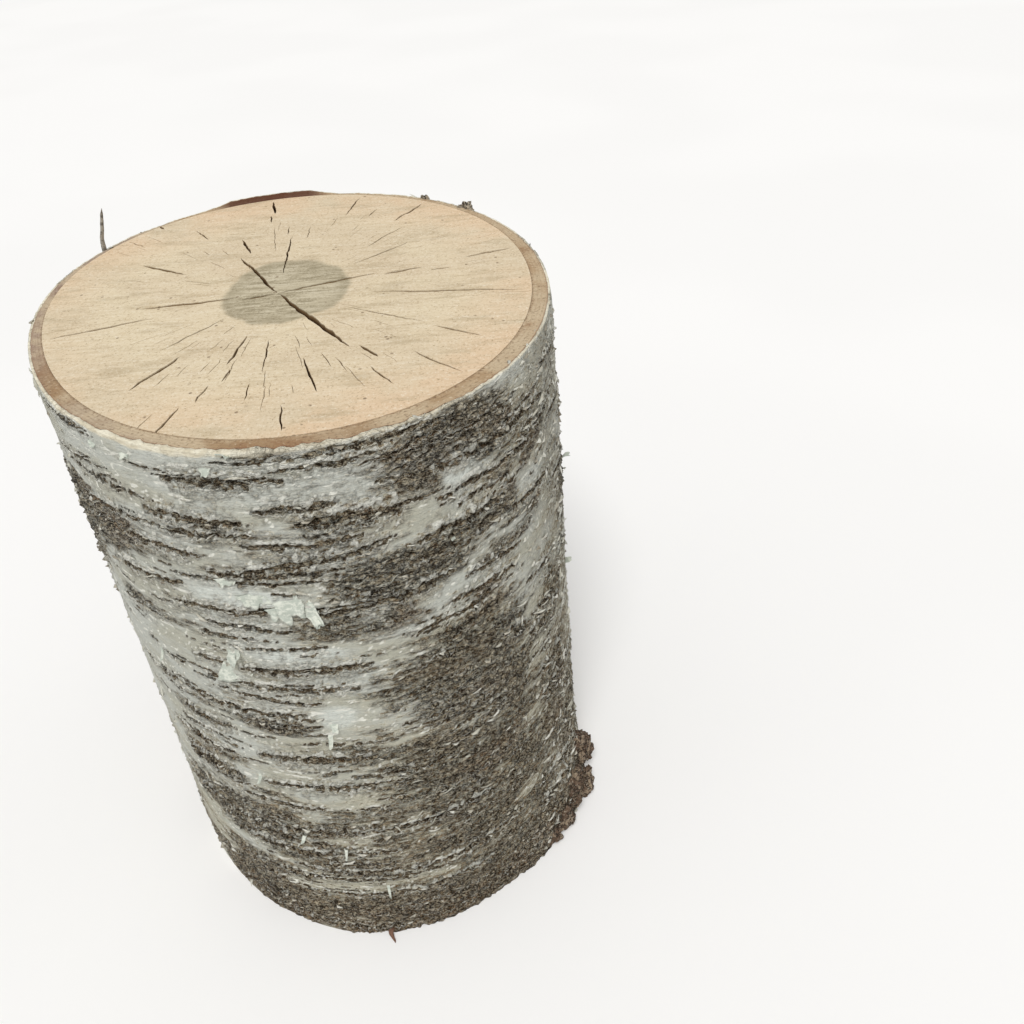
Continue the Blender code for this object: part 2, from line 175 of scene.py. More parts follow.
# Drying checks of the upper end: angle round the pith, start, end and width in mm
CHECKS = (
    (-56, 0, 78, 3.0), (119, 0, 59, 2.1), (20, 0, 53, 2.4), (196, 0, 18, 2.2),
    (-53, 79, 95, 2.0), (-57, 99, 121, 1.1), (113, 61, 86, 1.7), (16, 55, 77, 2.2),
    (12, 78, 91, 1.3), (187, 19, 69, 2.5), (149, 63, 97, 2.3), (155, 41, 59, 0.9),
    (100, 121, 145, 2.0), (101, 105, 119, 1.1), (78, 110, 142, 1.1), (60, 106, 139, 1.8),
    (54, 67, 103, 1.0), (70, 110, 123, 1.1), (42, 47, 88, 1.2), (18, 99, 127, 1.9),
    (-7, 48, 127, 1.9), (-30, 42, 89, 1.2), (-31, 93, 121, 1.4), (-45, 102, 134, 1.2),
    (-72, 75, 109, 1.2), (-80, 113, 135, 0.9), (-85, 51, 84, 0.8), (-98, 46, 75, 1.4),
    (-96, 78, 90, 1.0), (-99, 92, 107, 1.1), (-102, 110, 136, 1.2), (242, 70, 104, 1.9),
    (231, 32, 72, 1.3), (199, 59, 109, 2.0), (93, 24, 80, 1.1), (95, 82, 96, 0.7),
    (123, 98, 118, 1.1), (129, 74, 84, 0.7), (133, 50, 67, 0.7), (87, 74, 94, 0.6),
    (139, 117, 135, 0.8), (-63, 82, 99, 0.6), (-88, 91, 107, 0.7), (129, 135, 144, 1.7),
)
HAIRLINES = 90
LOWER_CHECKS = 26
CHECK_DEPTH_RATIO = 4        # how deep a check is for its width
CHECK_STATION = 0.0026       # between the corners along a check
END_CORNERS = 236            # round a sawn end
UPPER_GRAIN = 0.0026         # between the corners within it
LOWER_GRAIN = 0.0060

# Torn sheets on the bark: angle, height, width and length in mm, turn from upright in degrees,
# first lean and curl in degrees, width of the free edge as a share
TORN_SHEETS = (
    (-93.5, 273.5, 15, 6.0, 168, 14, -8, 0.80), (-88.8, 270.5, 14, 10.5, 158, 15, -4, 0.75),
    (-86.0, 267.5, 8.0, 12.0, 150, 15, 12, 0.50), (-90.4, 265.5, 9.0, 5.0, 172, 14, 10, 0.70),
    (-97.8, 281.0, 10, 3.4, 170, 13, 4, 0.60), (-84.4, 262.5, 3.6, 8.0, 176, 12, 30, 0.45),
    (-101.2, 236.0, 3.6, 9.0, 192, 12, -4, 1.60), (-102.8, 228.5, 5.0, 13.5, 184, 11, -6, 2.80),
    (-100.6, 236.5, 4.0, 5.0, 130, 12, 60, 0.50), (-99.0, 224.0, 4.0, 4.0, 150, 10, 60, 0.40),
    (-86.0, 190.0, 4.0, 6.0, 174, 15, 50, 0.60), (-87.0, 182.5, 2.6, 7.0, 186, 12, 60, 0.50),
    (-90.2, 88.0, 1.8, 8.0, 178, 10, 60, 0.50), (-83.6, 50.0, 1.8, 9.0, 176, 12, 50, 0.50),
    (-104.2, 144.0, 2.0, 6.0, 184, 10, 60, 0.60), (-98.0, 97.0, 2.2, 5.0, 200, 15, 60, 0.60),
    (-92.0, 343.0, 6.0, 3.5, 12, 25, 60, 0.70), (-95.5, 338.0, 5.0, 3.5, 170, 20, 60, 0.60),
    (-60.0, 283.0, 3.0, 5.0, 160, 20, 80, 0.60), (-110.0, 339.0, 5.0, 3.0, 166, 14, 70, 0.60),
    (-118.0, 338.0, 4.0, 3.0, 190, 14, 70, 0.60), (-124.0, 214.0, 2.4, 11.0, 108, 8, 40, 0.30),
    (-12.0, 248.0, 6.0, 6.0, 15, 30, 50, 0.60), (-8.0, 165.0, 5.0, 5.0, -10, 35, 50, 0.60),
    (172.0, 130.0, 12, 6.0, 170, 20, 60, 0.80), (96.0, 235.0, 14, 6.0, 175, 20, 50, 0.80),
    (28.0, 275.0, 10, 6.0, 190, 22, 60, 0.70), (60.0, 130.0, 12, 7.0, 180, 18, 60, 0.80),
    (140.0, 280.0, 9, 6.0, 168, 20, 60, 0.80), (-165.0, 300.0, 9, 5.0, 190, 20, 60, 0.70),
)

# Burrs and torn lumps: angle, height, how far the middle stands off, radius, all in metres but the angle
BURRS = (
    (50, 0.341, 0.0010, 0.0070), (46.5, 0.336, 0.0010, 0.0058), (53, 0.334, 0.0000, 0.0062),
    (63.5, 0.3425, 0.0000, 0.0040), (136.5, 0.3405, 0.0000, 0.0042), (141, 0.338, 0.0000, 0.0045),
    (-22, 0.036, 0.0000, 0.0088), (-30, 0.022, 0.0000, 0.0100), (-19, 0.018, 0.0000, 0.0105),
    (-37, 0.009, 0.0000, 0.0085), (-26, 0.006, 0.0005, 0.0095), (-24, 0.029, 0.0030, 0.0052),
    (-33, 0.014, 0.0030, 0.0050), (-20, 0.027, 0.0030, 0.0046), (-42, 0.006, 0.0005, 0.0062),
    (-24, 0.012, 0.0035, 0.0048),
)
BURR_FLATNESS = 0.62

SHEET_THICK = 0.28 * MM
CURL_THICK = 0.15 * MM
SCALES_PER_M2 = 7600
CURLS_PER_M2 = 10400

# The splinter that sticks out from under the front of the foot
SPLINTER_ANGLE = -85.3
SPLINTER_REACH = 0.0085

# The thin strip of bark that stands up past the rim
STRIP_ANGLE = 148.4
STRIP_ROOT = 0.322
STRIP_TIP = 0.3685
STRIP_LEAN = -0.0070          # outwards, at its tip
STRIP_DRIFT = -0.0045         # round the trunk, at its tip
STRIP_WIDTH = 0.0044
STRIP_THICK = 0.0024

# The stage: a round floor, a wide soft light from above the front, and the photograph's camera
FLOOR_RADIUS = 14
SKY_STRENGTH = 0.48
SUN_STRENGTH = 2.02
SUN_WIDTH = math.radians(24)
SUN_FROM = Vector((-0.03, -0.55, 1))
CAMERA_PITCH = math.radians(37.8)      # downwards
CAMERA_ROLL = math.radians(-3.9)
CAMERA_PLACE = (0.10318, -0.43708, 0.5306)   # from the foot of the trunk's axis
SENSOR_WIDTH = 36
FOCAL_SHARE = 900 / 1024               # focal length for the sensor's width


def outline(angle):
    """Radius over the bark at the upper cut."""
    oval = OVAL * np.cos(2 * (angle - OVAL_TURN))
    return RADIUS + oval + EGG * np.cos(3 * (angle - EGG_TURN))


def bark_thickness(angle):
    return BARK_MEAN + BARK_SWING * np.cos(angle - BARK_THICK_SIDE)


def wood_radius(angle, z):
    return outline(angle) - bark_thickness(angle) + SPREAD * (1 - z / HEIGHT)


def turn_from(angle, degrees):
    """Turn in degrees, from -180 to 180, between a fixed direction and angles in radians."""
    return (np.degrees(angle) - degrees + 180) % 360 - 180


def bell(distance, half):
    return np.exp(-(distance / half) ** 2)


def ease(value, low, high):
    """0 below low, 1 above high and a smooth climb between them."""
    share = np.clip((value - low) / (high - low), 0, 1)
    return share * share * (3 - 2 * share)


def plain_radius(angle, z):
    """Radius over the bark without its relief."""
    radius = outline(angle) + SPREAD * (1 - z / HEIGHT)
    for middle, reach, half_turn, height in FLARES:
        radius = radius + reach * bell(turn_from(angle, middle), half_turn) * bell(z, height)
    return radius


def grain(points, size, seed):
    """Smooth noise, about -1 to 1, on an array of points; size is the grain along x, y and z."""
    rng = np.random.default_rng(seed)
    slopes = rng.normal(size=(4096, 3))
    spot = points / np.asarray(size) + rng.uniform(10, 90, 3)
    corner = np.floor(spot).astype(np.int64)
    inside = spot - corner
    blend = inside ** 3 * (inside * (inside * 6 - 15) + 10)
    total = np.zeros(points.shape[:-1])
    for step in np.ndindex(2, 2, 2):
        cell = corner + step
        key = (cell[..., 0] * 73856093 ^ cell[..., 1] * 19349663 ^ cell[..., 2] * 83492791) & 4095
        weight = np.prod(np.where(step, blend, 1 - blend), axis=-1)
        total += weight * ((inside - step) * slopes[key]).sum(-1)
    return total


def mean_circle(angle):
    """Points on a circle as wide as the trunk, for noise that follows the rim."""
    return np.stack((np.cos(angle) * RADIUS, np.sin(angle) * RADIUS, 0 * angle), -1)


def rim_height(angle):
    """Upper edge of the bark: torn a little, with a ledge standing above the cut at the back."""
    ring = mean_circle(angle)
    torn = 0.35 * MM * grain(ring, (0.007,) * 3, 51) + 0.30 * MM * grain(ring, (0.0022,) * 3, 52)
    ledge = np.minimum(1, 3 * bell(turn_from(angle, LEDGE_ANGLE), LEDGE_HALF) ** 2)
    return HEIGHT - 0.45 * MM + torn * (1 - 0.7 * ledge) + LEDGE_RISE * ledge


def rim_lip(angle):
    """Width of the pale papery edge round the cut, wide and uneven at the front."""
    ring = mean_circle(angle)
    uneven = 1 + 0.9 * grain(ring, (0.009,) * 3, 53) + 0.7 * grain(ring, (0.003,) * 3, 54)
    return RIM_LIP + RIM_LIP_MORE * bell(turn_from(angle, RIM_LIP_FRONT), 30) * uneven


# The grid that the bark's outside is worked out on: rows from floor to rim, columns all round
ANGLES = np.radians(FIRST_SECTOR) + 2 * np.pi * np.arange(COLUMNS) / COLUMNS
SHARES = np.concatenate((np.linspace(0, RIM_SHARE, LOW_ROWS, endpoint=False),
                         np.linspace(RIM_SHARE, 1, RIM_ROWS)))
GRID_Z = SHARES[:, None] * rim_height(ANGLES)[None, :]
GRID_ANGLE = np.broadcast_to(ANGLES, GRID_Z.shape)
GRID_RADIUS = plain_radius(GRID_ANGLE, GRID_Z)
GRID = np.stack((GRID_RADIUS * np.cos(GRID_ANGLE), GRID_RADIUS * np.sin(GRID_ANGLE), GRID_Z), -1)


def layered(size, seed, octaves=3):
    """Noise on the bark's grid with finer and finer grain added; size is round the trunk and up it."""
    total = 0
    for octave in range(octaves):
        fine = 0.5 ** octave
        total = total + fine * grain(GRID, (size[0] * fine, size[0] * fine, size[1] * fine), seed + octave)
    return total


def zone_field(zones):
    """How far each spot of the bark lies inside soft-edged zones, 0 to 1."""
    field = np.zeros(GRID_Z.shape)
    for middle, height, half_turn, half_height, strength in zones:
        across = turn_from(GRID_ANGLE, middle) / half_turn
        up = (GRID_Z / MM - height) / half_height
        field = np.maximum(field, strength * (1 - ease(np.hypot(across, up), 0.50, 1.30)))
    return field


def scaly_cover():
    """Where the bark is cracked into scales, 0 to 1, and the same with soft edges, for its colour.

    The edges run out in level streaks.
    """
    field = zone_field(SCALY_ZONES) + 0.30 * layered((0.050, 0.013), 11)
    streaks = grain(GRID, (0.018, 0.018, 0.0030), 14) + 0.8 * grain(GRID, (0.0065, 0.0065, 0.0016), 15)
    smooth = zone_field(SMOOTH_PATCHES)
    hidden = ease(np.abs(turn_from(GRID_ANGLE, 83)), 105, 75)
    field += hidden * (1.3 * layered((0.060, 0.026), 17, 3) - 0.05)
    field += 0.42 * streaks * (1 - 0.6 * smooth) - 0.95 * smooth
    return ease(field, 0.28, 0.62), ease(field, 0.05, 0.95)


def seeded_bands(rng):
    """Bands for the side that the photograph hides, and small ones all round."""
    low, high = HIDDEN_SIDE
    for z in np.arange(8, HEIGHT / MM - 4, HIDDEN_BAND_STEP):
        start = low + rng.uniform(-6, 10)
        while start < high:
            length = rng.uniform(7, 34)
            level = z + rng.uniform(-3, 3)
            yield start, level, start + length, level + rng.uniform(-3, 3), rng.uniform(1.2, 3.8)
            start += length + rng.uniform(3, 22)
    for _ in range(THIN_BANDS):
        start = rng.uniform(-180, 180)
        level = 4 + (HEIGHT / MM - 7) * rng.random() ** 1.4
        length = rng.uniform(7, 26)
        yield start, level, start + length, level + rng.uniform(-3, 3), rng.uniform(0.7, 1.7)
    for _ in range(SMALL_BANDS):
        start = rng.uniform(-180, 180)
        level = rng.uniform(4, HEIGHT / MM - 3)
        length = rng.uniform(1.2, 9)
        yield start, level, start + length, level + rng.uniform(-1, 1), rng.uniform(0.5, 1.5)


def lenticel_cover():
    """Corky bands: how dark, how near one, and the papery lips that stand along their edges."""
    wander = layered((0.012, 0.006), 21)
    ragged = layered((0.0030, 0.0030), 24, 2)
    band = np.zeros(GRID_Z.shape)
    lip = np.zeros(GRID_Z.shape)
    halo = np.zeros(GRID_Z.shape)
    bands = LENTICELS + tuple(seeded_bands(random.Random(5)))
    for start, z0, end, z1, thick in bands:
        first = math.floor((start - 1 - FIRST_SECTOR) / 360 * COLUMNS)
        last = math.ceil((end + 1 - FIRST_SECTOR) / 360 * COLUMNS)
        columns = np.arange(first, last + 1)
        share = (columns * 360 / COLUMNS + FIRST_SECTOR - start) / (end - start)
        columns = columns % COLUMNS
        reach = 3 * thick + 4
        low, high = np.searchsorted(GRID_Z[:, columns[0]] / MM, (min(z0, z1) - reach, max(z0, z1) + reach))
        window = np.ix_(range(low, high), columns)
        level = z0 + (z1 - z0) * share + 1.3 * wander[window]
        taper = np.clip(4 * share * (1 - share), 0, 1) ** 0.35
        half = 0.72 * thick * taper * np.maximum(0.80 + 0.95 * ragged[window], 0.05) + 0.02
        above = (GRID_Z[window] / MM - level) / np.maximum(half, 0.05)
        away = np.abs(above + 0.25 * ragged[window])
        strength = min(1.0, 0.5 + 0.35 * thick)
        band[window] = np.maximum(band[window], strength * (1 - ease(away, 0.45, 1.45)))
        near = bell(away, 3.2) * min(1.0, 0.35 * thick) * (taper > 0)
        halo[window] = np.maximum(halo[window], near)
        edge = bell(above - 1.65, 0.5) + 0.35 * bell(above + 1.8, 0.5)
        edge *= min(1.0, 0.45 * thick) * (taper > 0)
        lip[window] = np.maximum(lip[window], edge)
    return band, halo, lip * np.clip(0.6 + ragged, 0, 1) * (1 - band)


def hollows(relief):
    """How far each spot lies below the mean of its surroundings, in millimetres."""
    mean = relief
    for axis, reach in ((1, 3), (0, 2)):
        pad = [(reach, reach) if axis == 0 else (0, 0), (0, 0)]
        wide = np.pad(mean, pad, mode="edge")
        mean = sum(np.roll(wide, step, axis) for step in range(-reach, reach + 1)) / (2 * reach + 1)
        if axis == 0:
            mean = mean[reach:-reach]
    return mean - relief


def bark_survey():
    """Relief in metres and the covers that the bark's material reads, all on the grid."""
    scaly, rough = scaly_cover()
    band, halo, lip = lenticel_cover()
    smooth = 1 - scaly
    plates = 1 - 2 * np.abs(layered((0.0085, 0.0030), 31, 2))
    chips = layered((0.0040, 0.0016), 34, 2)
    crumbs = grain(GRID, (0.0020, 0.0020, 0.0013), 37)
    lumps = layered((0.045, 0.020), 38, 2)
    ripple = grain(GRID, (0.016, 0.016, 0.0020), 41)
    sheets = 2.6 * layered((0.040, 0.0095), 43, 2)
    step = sheets - np.floor(sheets)
    torn = bell(np.minimum(step, 1 - step), 0.055) * smooth * ease(ripple, -0.5, 0.3)
    relief = 0.55 * lumps + smooth * (0.13 * ripple + 0.34 * ease(step, 0.02, 0.14))
    relief += scaly * (0.20 + 0.75 * plates + 1.35 * chips + 0.55 * crumbs)
    hatch = grain(GRID, (0.0016, 0.0016, 0.0050), 39)
    relief += band * (-0.70 + 1.0 * chips + 0.9 * crumbs + 0.6 * hatch) * (1 - 0.5 * scaly) + 1.10 * lip
    below_rim = (rim_height(ANGLES)[None, :] - GRID_Z) / MM
    fray_depth = 0.4 + 1.3 * layered((0.012, 0.004), 46, 2) + 1.6 * bell(turn_from(GRID_ANGLE, -104), 18)
    frayed = ease(fray_depth - below_rim, -0.4, 0.6) * (1 - bell(turn_from(GRID_ANGLE, LEDGE_ANGLE), 22))
    # Darker towards the foot and round the trunk near -25 degrees, lighter near -130 degrees, with a
    # wandering noise, and less over the fresh patches.
    foot_and_side_darkening = 1 - ease(GRID_Z / MM, 20, 290) + 0.45 * layered((0.05, 0.02), 49, 2)
    foot_and_side_darkening += 0.45 * bell(turn_from(GRID_ANGLE, -25), 60) - 0.35 * bell(turn_from(GRID_ANGLE, -130), 40)
    foot_and_side_darkening *= 1 - 0.6 * zone_field(FRESH_PATCHES)
    frayed *= 1 - 0.85 * bell(turn_from(GRID_ANGLE, -52), 30)
    relief *= ease(below_rim, -1.5, 5)
    # Painted shade and painted highlight: this cover rises where the relief lies below its surroundings and
    # falls where it stands above them, and the bark's colour darkens with it.
    painted_relief_shade = np.clip(0.5 + 1.1 * hollows(relief), 0, 1)
    shaggy = bell(turn_from(GRID_ANGLE, -27), 13) + 0.5 * bell(turn_from(GRID_ANGLE, -160), 16)
    damp = bell(GRID_Z / MM, 34) + 0.5 * bell(turn_from(GRID_ANGLE, -60), 16) * bell(GRID_Z / MM - 325, 22)
    damp += ease(layered((0.06, 0.03), 48, 2), 0.15, 0.8) * scaly
    covers = {"rough": np.maximum(rough, 0.55 * halo + 0.25 * shaggy), "band": band,
              "lip": np.maximum(lip, torn), "painted_relief_shade": painted_relief_shade, "frayed": frayed,
              "damp": np.clip(damp, 0, 1), "foot_and_side_darkening": np.clip(foot_and_side_darkening, 0, 1),
              "fresh": zone_field(FRESH_PATCHES) * (1 - band), "shaggy": shaggy}
    return relief * MM, covers


RELIEF, COVERS = bark_survey()
BARK_RADIUS = GRID_RADIUS + RELIEF


def bark_at(degrees, z):
    """Radius over the bark at one spot."""
    column = round((degrees - FIRST_SECTOR) / 360 * COLUMNS) % COLUMNS
    row = min(int(np.searchsorted(GRID_Z[:, column], z)), len(SHARES) - 1)
    return float(BARK_RADIUS[row, column])


def inside_box(points):
    """Keep points inside the solids' own box."""
    low, high = np.array(CAD_BOX[0]), np.array(CAD_BOX[1])
    return np.clip(points, low + 0.02 * MM, high - 0.02 * MM)


def directions(angle):
    """Unit vectors round the trunk and out of it."""
    return (np.array((-math.sin(angle), math.cos(angle), 0)),
            np.array((math.cos(angle), math.sin(angle), 0)))


def round_trunk(radius, angle, z):
    """Points at a radius, angle and height, measured from the trunk's axis."""
    return np.stack((AXIS[0] + radius * np.cos(angle), AXIS[1] + radius * np.sin(angle), z), -1)


def read_points(mesh):
    points = np.empty(len(mesh.vertices) * 3, np.float32)
    mesh.vertices.foreach_get("co", points)
    return points.reshape(-1, 3).astype(float)


def keep_inside(mesh):
    mesh.vertices.foreach_set("co", inside_box(read_points(mesh)).astype(np.float32).ravel())


def store_cover(mesh, name, values):
    mesh.attributes.new(name, "FLOAT", "POINT").data.foreach_set("value", values.astype(np.float32))


def read_cover(mesh, name):
    values = np.empty(len(mesh.vertices), np.float32)
    mesh.attributes[name].data.foreach_get("value", values)
    return values


def mesh_of(bm, name):
    """A mesh from a bmesh, which is let go."""
    mesh = bpy.data.meshes.new(name)
    bm.to_mesh(mesh)
    bm.free()
    return mesh


def in_scene(name, data):
    """An object of the scene that carries a mesh, a light or a camera."""
    item = bpy.data.objects.new(name, data)
    bpy.context.scene.collection.objects.link(item)
    return item


def finished_mesh(item):
    """A plain mesh of what an object's modifiers make."""
    return bpy.data.meshes.new_from_object(item.evaluated_get(bpy.context.evaluated_depsgraph_get()))


def face_outwards(mesh):
    bm = bmesh.new()
    bm.from_mesh(mesh)
    bmesh.ops.recalc_face_normals(bm, faces=bm.faces)
    bm.to_mesh(mesh)
    bm.free()


def new_piece(name, points, faces, material, covers=None, normals=None):
    """A mesh object at the origin, shaded smooth, with its material and its covers as attributes."""
    mesh = bpy.data.meshes.new(name)
    mesh.from_pydata(points.tolist(), [], faces)
    for cover, values in (covers or {}).items():
        store_cover(mesh, cover, values)
    mesh.materials.append(material)
    mesh.shade_smooth()
    if normals is None:
        face_outwards(mesh)
    else:
        mesh.normals_split_custom_set_from_vertices(normals.tolist())
    return in_scene(name, mesh)


def grid_faces(rows, columns, close_rows=False, close_columns=False):
    """Quads of a grid of vertices numbered row by row."""
    row = np.arange(rows if close_rows else rows - 1)
    column = np.arange(columns if close_columns else columns - 1)
    r, c = np.meshgrid(row, column, indexing="ij")
    up, on = (r + 1) % rows, (c + 1) % columns
    quads = np.stack((r * columns + c, r * columns + on, up * columns + on, up * columns + c), -1)
    return quads.reshape(-1, 4).tolist()


def sleeve_section():
    """Radius and height of each row of the sleeve: the outside, the lips at both cuts, the inside."""
    top, foot = BARK_RADIUS[-1], BARK_RADIUS[0]
    rim = GRID_Z[-1]
    lip = rim_lip(ANGLES)
    flat = np.zeros(COLUMNS)
    core_top = outline(ANGLES) - 0.8 * bark_thickness(ANGLES)
    core_foot = core_top + SPREAD
    radii = [*BARK_RADIUS, top - 0.35 * lip, top - 0.8 * lip, top - lip, core_top,
             core_foot, foot - RIM_LIP]
    heights = [*GRID_Z, rim + 0.15 * MM, rim + 0.05 * MM, rim - 0.9 * MM, rim - 9 * MM,
               flat + 9 * MM, flat]
    return np.array(radii), np.array(heights)


def build_bark(material):
    """The sleeve of bark in four sectors that share their normals where they meet."""
    radii, heights = sleeve_section()
    rows = len(radii)
    points = inside_box(round_trunk(radii, np.broadcast_to(ANGLES, radii.shape), heights))
    along = np.roll(points, -1, 1) - np.roll(points, 1, 1)
    up = np.roll(points, -1, 0) - np.roll(points, 1, 0)
    normals = np.cross(along, up)
    normals /= np.linalg.norm(normals, axis=-1, keepdims=True)
    spare = rows - len(SHARES)
    covers = {name: np.concatenate((values, np.repeat(values[-1:], spare, 0)))
              for name, values in COVERS.items()}
    covers["frayed"][len(SHARES):] = 1
    width = COLUMNS // len(SECTORS)
    sectors = []
    for number, side in enumerate(SECTORS):
        columns = np.arange(number * width, number * width + width + 1) % COLUMNS
        count = len(columns)
        faces = grid_faces(rows, count, close_rows=True)
        faces.append([row * count for row in range(rows)])
        faces.append([row * count + count - 1 for row in reversed(range(rows))])
        part = {name: values[:, columns].ravel() for name, values in covers.items()}
        sectors.append(new_piece(f"bark_{side}", points[:, columns].reshape(-1, 3), faces, material,
                                 part, normals[:, columns].reshape(-1, 3)))
    return sectors


def build_inner_bark(material):
    """The ring of inner bark between the wood and the papery edge, sawn flat with both ends."""
    steps = 11
    wood = outline(ANGLES) - bark_thickness(ANGLES) + 0.1 * MM
    hidden = wood + 0.12 * bark_thickness(ANGLES)
    top_out = BARK_RADIUS[-1] - 0.75 * rim_lip(ANGLES)
    foot_out = BARK_RADIUS[0] - 0.75 * RIM_LIP
    share = np.linspace(0, 1, steps)[:, None]
    upper = wood + (top_out - wood) * share
    ring = np.stack((upper * np.cos(ANGLES), upper * np.sin(ANGLES), 0 * upper), -1)
    grooves = grain(ring, (0.0035, 0.0035, 1), 61) * 0.16 + grain(ring, (0.0016, 0.0016, 1), 62) * 0.14
    layers = 0.05 * np.sin(share * 30 + 2.5 * grain(ring, (0.02, 0.02, 1), 63))
    ledge = (rim_height(ANGLES) - HEIGHT + 0.45 * MM) * ease(share, 0.50, 0.95)
    upper_z = HEIGHT - 0.35 * MM + (grooves + layers) * MM + np.maximum(ledge, 0)
    lower = wood + SPREAD + (foot_out - wood - SPREAD) * share[::-1]
    wall = np.array((hidden + SPREAD, hidden))
    wall_z = np.array((np.full(COLUMNS, 8 * MM), np.full(COLUMNS, HEIGHT - 8 * MM)))
    radii = np.concatenate((upper[::-1], lower[::-1], wall))
    heights = np.concatenate((upper_z[::-1], np.zeros(lower.shape), wall_z))
    depth = np.concatenate((share[::-1], share, share[:2]))
    depth = np.broadcast_to(depth, radii.shape)
    ledge_cover = np.broadcast_to(bell(turn_from(ANGLES, LEDGE_ANGLE), LEDGE_HALF + 3), radii.shape)
    points = inside_box(round_trunk(radii, np.broadcast_to(ANGLES, radii.shape), heights))
    faces = grid_faces(len(radii), COLUMNS, close_rows=True, close_columns=True)
    item = new_piece("inner_bark", points.reshape(-1, 3), faces, material,
                     {"depth": depth.ravel(), "ledge": ledge_cover.ravel()})
    item.data.set_sharp_from_angle(angle=math.radians(50))
    return item


def disc_with_grain(bm, level, spacing):
    """A sawn end: triangles about spacing wide inside the wood's outline."""
    angles = 2 * np.pi * np.arange(END_CORNERS) / END_CORNERS
    edge = wood_radius(angles, level)
    border = np.stack((edge * np.cos(angles), edge * np.sin(angles)), -1)
    reach = RADIUS + OVAL + SPREAD
    steps = int(2 * reach / spacing)
    spots = []
    for row in range(steps):
        y = -reach + row * spacing
        for column in range(steps):
            x = -reach + (column + 0.5 * (row % 2)) * spacing
            turn = math.atan2(y, x)
            if math.hypot(x, y) < wood_radius(turn, level) - 0.6 * spacing:
                spots.append(Vector((x, y)))
    corners = [Vector(p) for p in border] + spots
    found, _, faces, *_ = delaunay_2d_cdt(corners, [], [list(range(END_CORNERS))], 1, 1e-6)
    verts = [bm.verts.new((AXIS[0] + p.x, AXIS[1] + p.y, level)) for p in found]
    for face in faces:
        bm.faces.new([verts[i] for i in face])
    return verts[:END_CORNERS]


def check_blade(angle, start, end, width, level, way, rng):
    """A long jagged wedge that opens one check; way is -1 for one that opens upwards."""
    bm = bmesh.new()
    along = np.array((math.cos(angle), math.sin(angle)))
    across = np.array((-along[1], along[0]))
    stations = max(4, round((end - start) / CHECK_STATION))
    phase = rng.uniform(0, 100)
    face = level - way * 0.3 * MM
    rows = []
    for i in range(stations + 1):
        share = i / stations
        full = math.sin(math.pi * share) ** 0.55 if 0 < i < stations else 0.0
        reach = start + (end - start) * share
        bend = 1.1 * MM * noise.noise((reach / 0.016, phase, 0))
        bend += 0.7 * MM * noise.noise((reach / 0.004, phase, 5))
        spot = PITH + AXIS + along * reach + across * bend * min(1.0, 4 * full)
        if full == 0.0:
            rows.append([bm.verts.new((*spot, face))])
            continue
        half = 0.5 * width * full * (1 + 0.45 * noise.noise((reach / 0.005, phase, 9)))
        rows.append([bm.verts.new((*(spot + across * half), face)),
                     bm.verts.new((*(spot - across * half), face)),
                     bm.verts.new((*spot, level + way * width * CHECK_DEPTH_RATIO * full))])
    for near, far in zip(rows, rows[1:]):
        for a, b in ((0, 1), (1, 2), (2, 0)):
            if len(near) == 1:
                bm.faces.new((near[0], far[a], far[b]))
            elif len(far) == 1:
                bm.faces.new((near[a], far[0], near[b]))
            else:
                bm.faces.new((near[a], far[a], far[b], near[b]))
    bmesh.ops.recalc_face_normals(bm, faces=bm.faces)
    return bpy.data.objects.new("blade", mesh_of(bm, "blade"))


def check_plan(rng):
    """Every check as angle, start, end and width, with the end of the log that it opens in."""
    for row in CHECKS:
        yield row, HEIGHT, -1
    for _ in range(HAIRLINES):
        start = rng.uniform(34, 118)
        length = rng.uniform(7, 26)
        yield (rng.uniform(0, 360), start, min(start + length, 133), rng.uniform(0.30, 0.55)), HEIGHT, -1
    for number in range(LOWER_CHECKS):
        angle = 360 * (number + rng.uniform(-0.3, 0.3)) / LOWER_CHECKS
        start = rng.uniform(6, 66)
        yield (angle, start, start + rng.uniform(24, 66), rng.uniform(0.6, 2.3)), 0.0, 1


def build_wood(material):
    """The wood: two sawn ends, the side between them, and the checks cut in."""
    bm = bmesh.new()
    lower = disc_with_grain(bm, 0.0, LOWER_GRAIN)
    upper = disc_with_grain(bm, HEIGHT, UPPER_GRAIN)
    for i in range(len(lower)):
        k = (i + 1) % len(lower)
        bm.faces.new((lower[i], lower[k], upper[k], upper[i]))
    bmesh.ops.recalc_face_normals(bm, faces=bm.faces)
    item = in_scene("sawn_wood", mesh_of(bm, "sawn_wood"))
    blades = bpy.data.collections.new("blades")
    bpy.context.scene.collection.children.link(blades)
    rng = random.Random(31)
    for (degrees, start, end, width), level, way in check_plan(rng):
        blades.objects.link(check_blade(math.radians(degrees), start * MM, end * MM, width * MM,
                                        level, way, rng))
    cut = item.modifiers.new("checks", "BOOLEAN")
    cut.operation = "DIFFERENCE"
    cut.operand_type = "COLLECTION"
    cut.solver = "EXACT"
    cut.collection = blades
    item.data = finished_mesh(item)
    item.modifiers.clear()
    for blade in list(blades.objects):
        bpy.data.objects.remove(blade)
    bpy.data.collections.remove(blades)
    saw_the_face(item.data)
    item.data.name = "sawn_wood"
    item.data.materials.clear()
    item.data.materials.append(material)
    item.data.shade_smooth()
    item.data.set_sharp_from_angle(angle=math.radians(30))
    return item


def saw_the_face(mesh):
    """Shallow waves that the saw left across the upper end."""
    points = read_points(mesh)
    top = points[:, 2] > HEIGHT - 0.01 * MM
    spots = points[top] * (1, 1, 0)
    waves = 0.10 * grain(spots, (0.060, 0.0065, 1), 71) + 0.10 * grain(spots, (0.05, 0.05, 1), 72)
    points[top, 2] -= np.clip(0.16 + waves, 0, 0.4) * MM
    mesh.vertices.foreach_set("co", points.astype(np.float32).ravel())
    mesh.update()


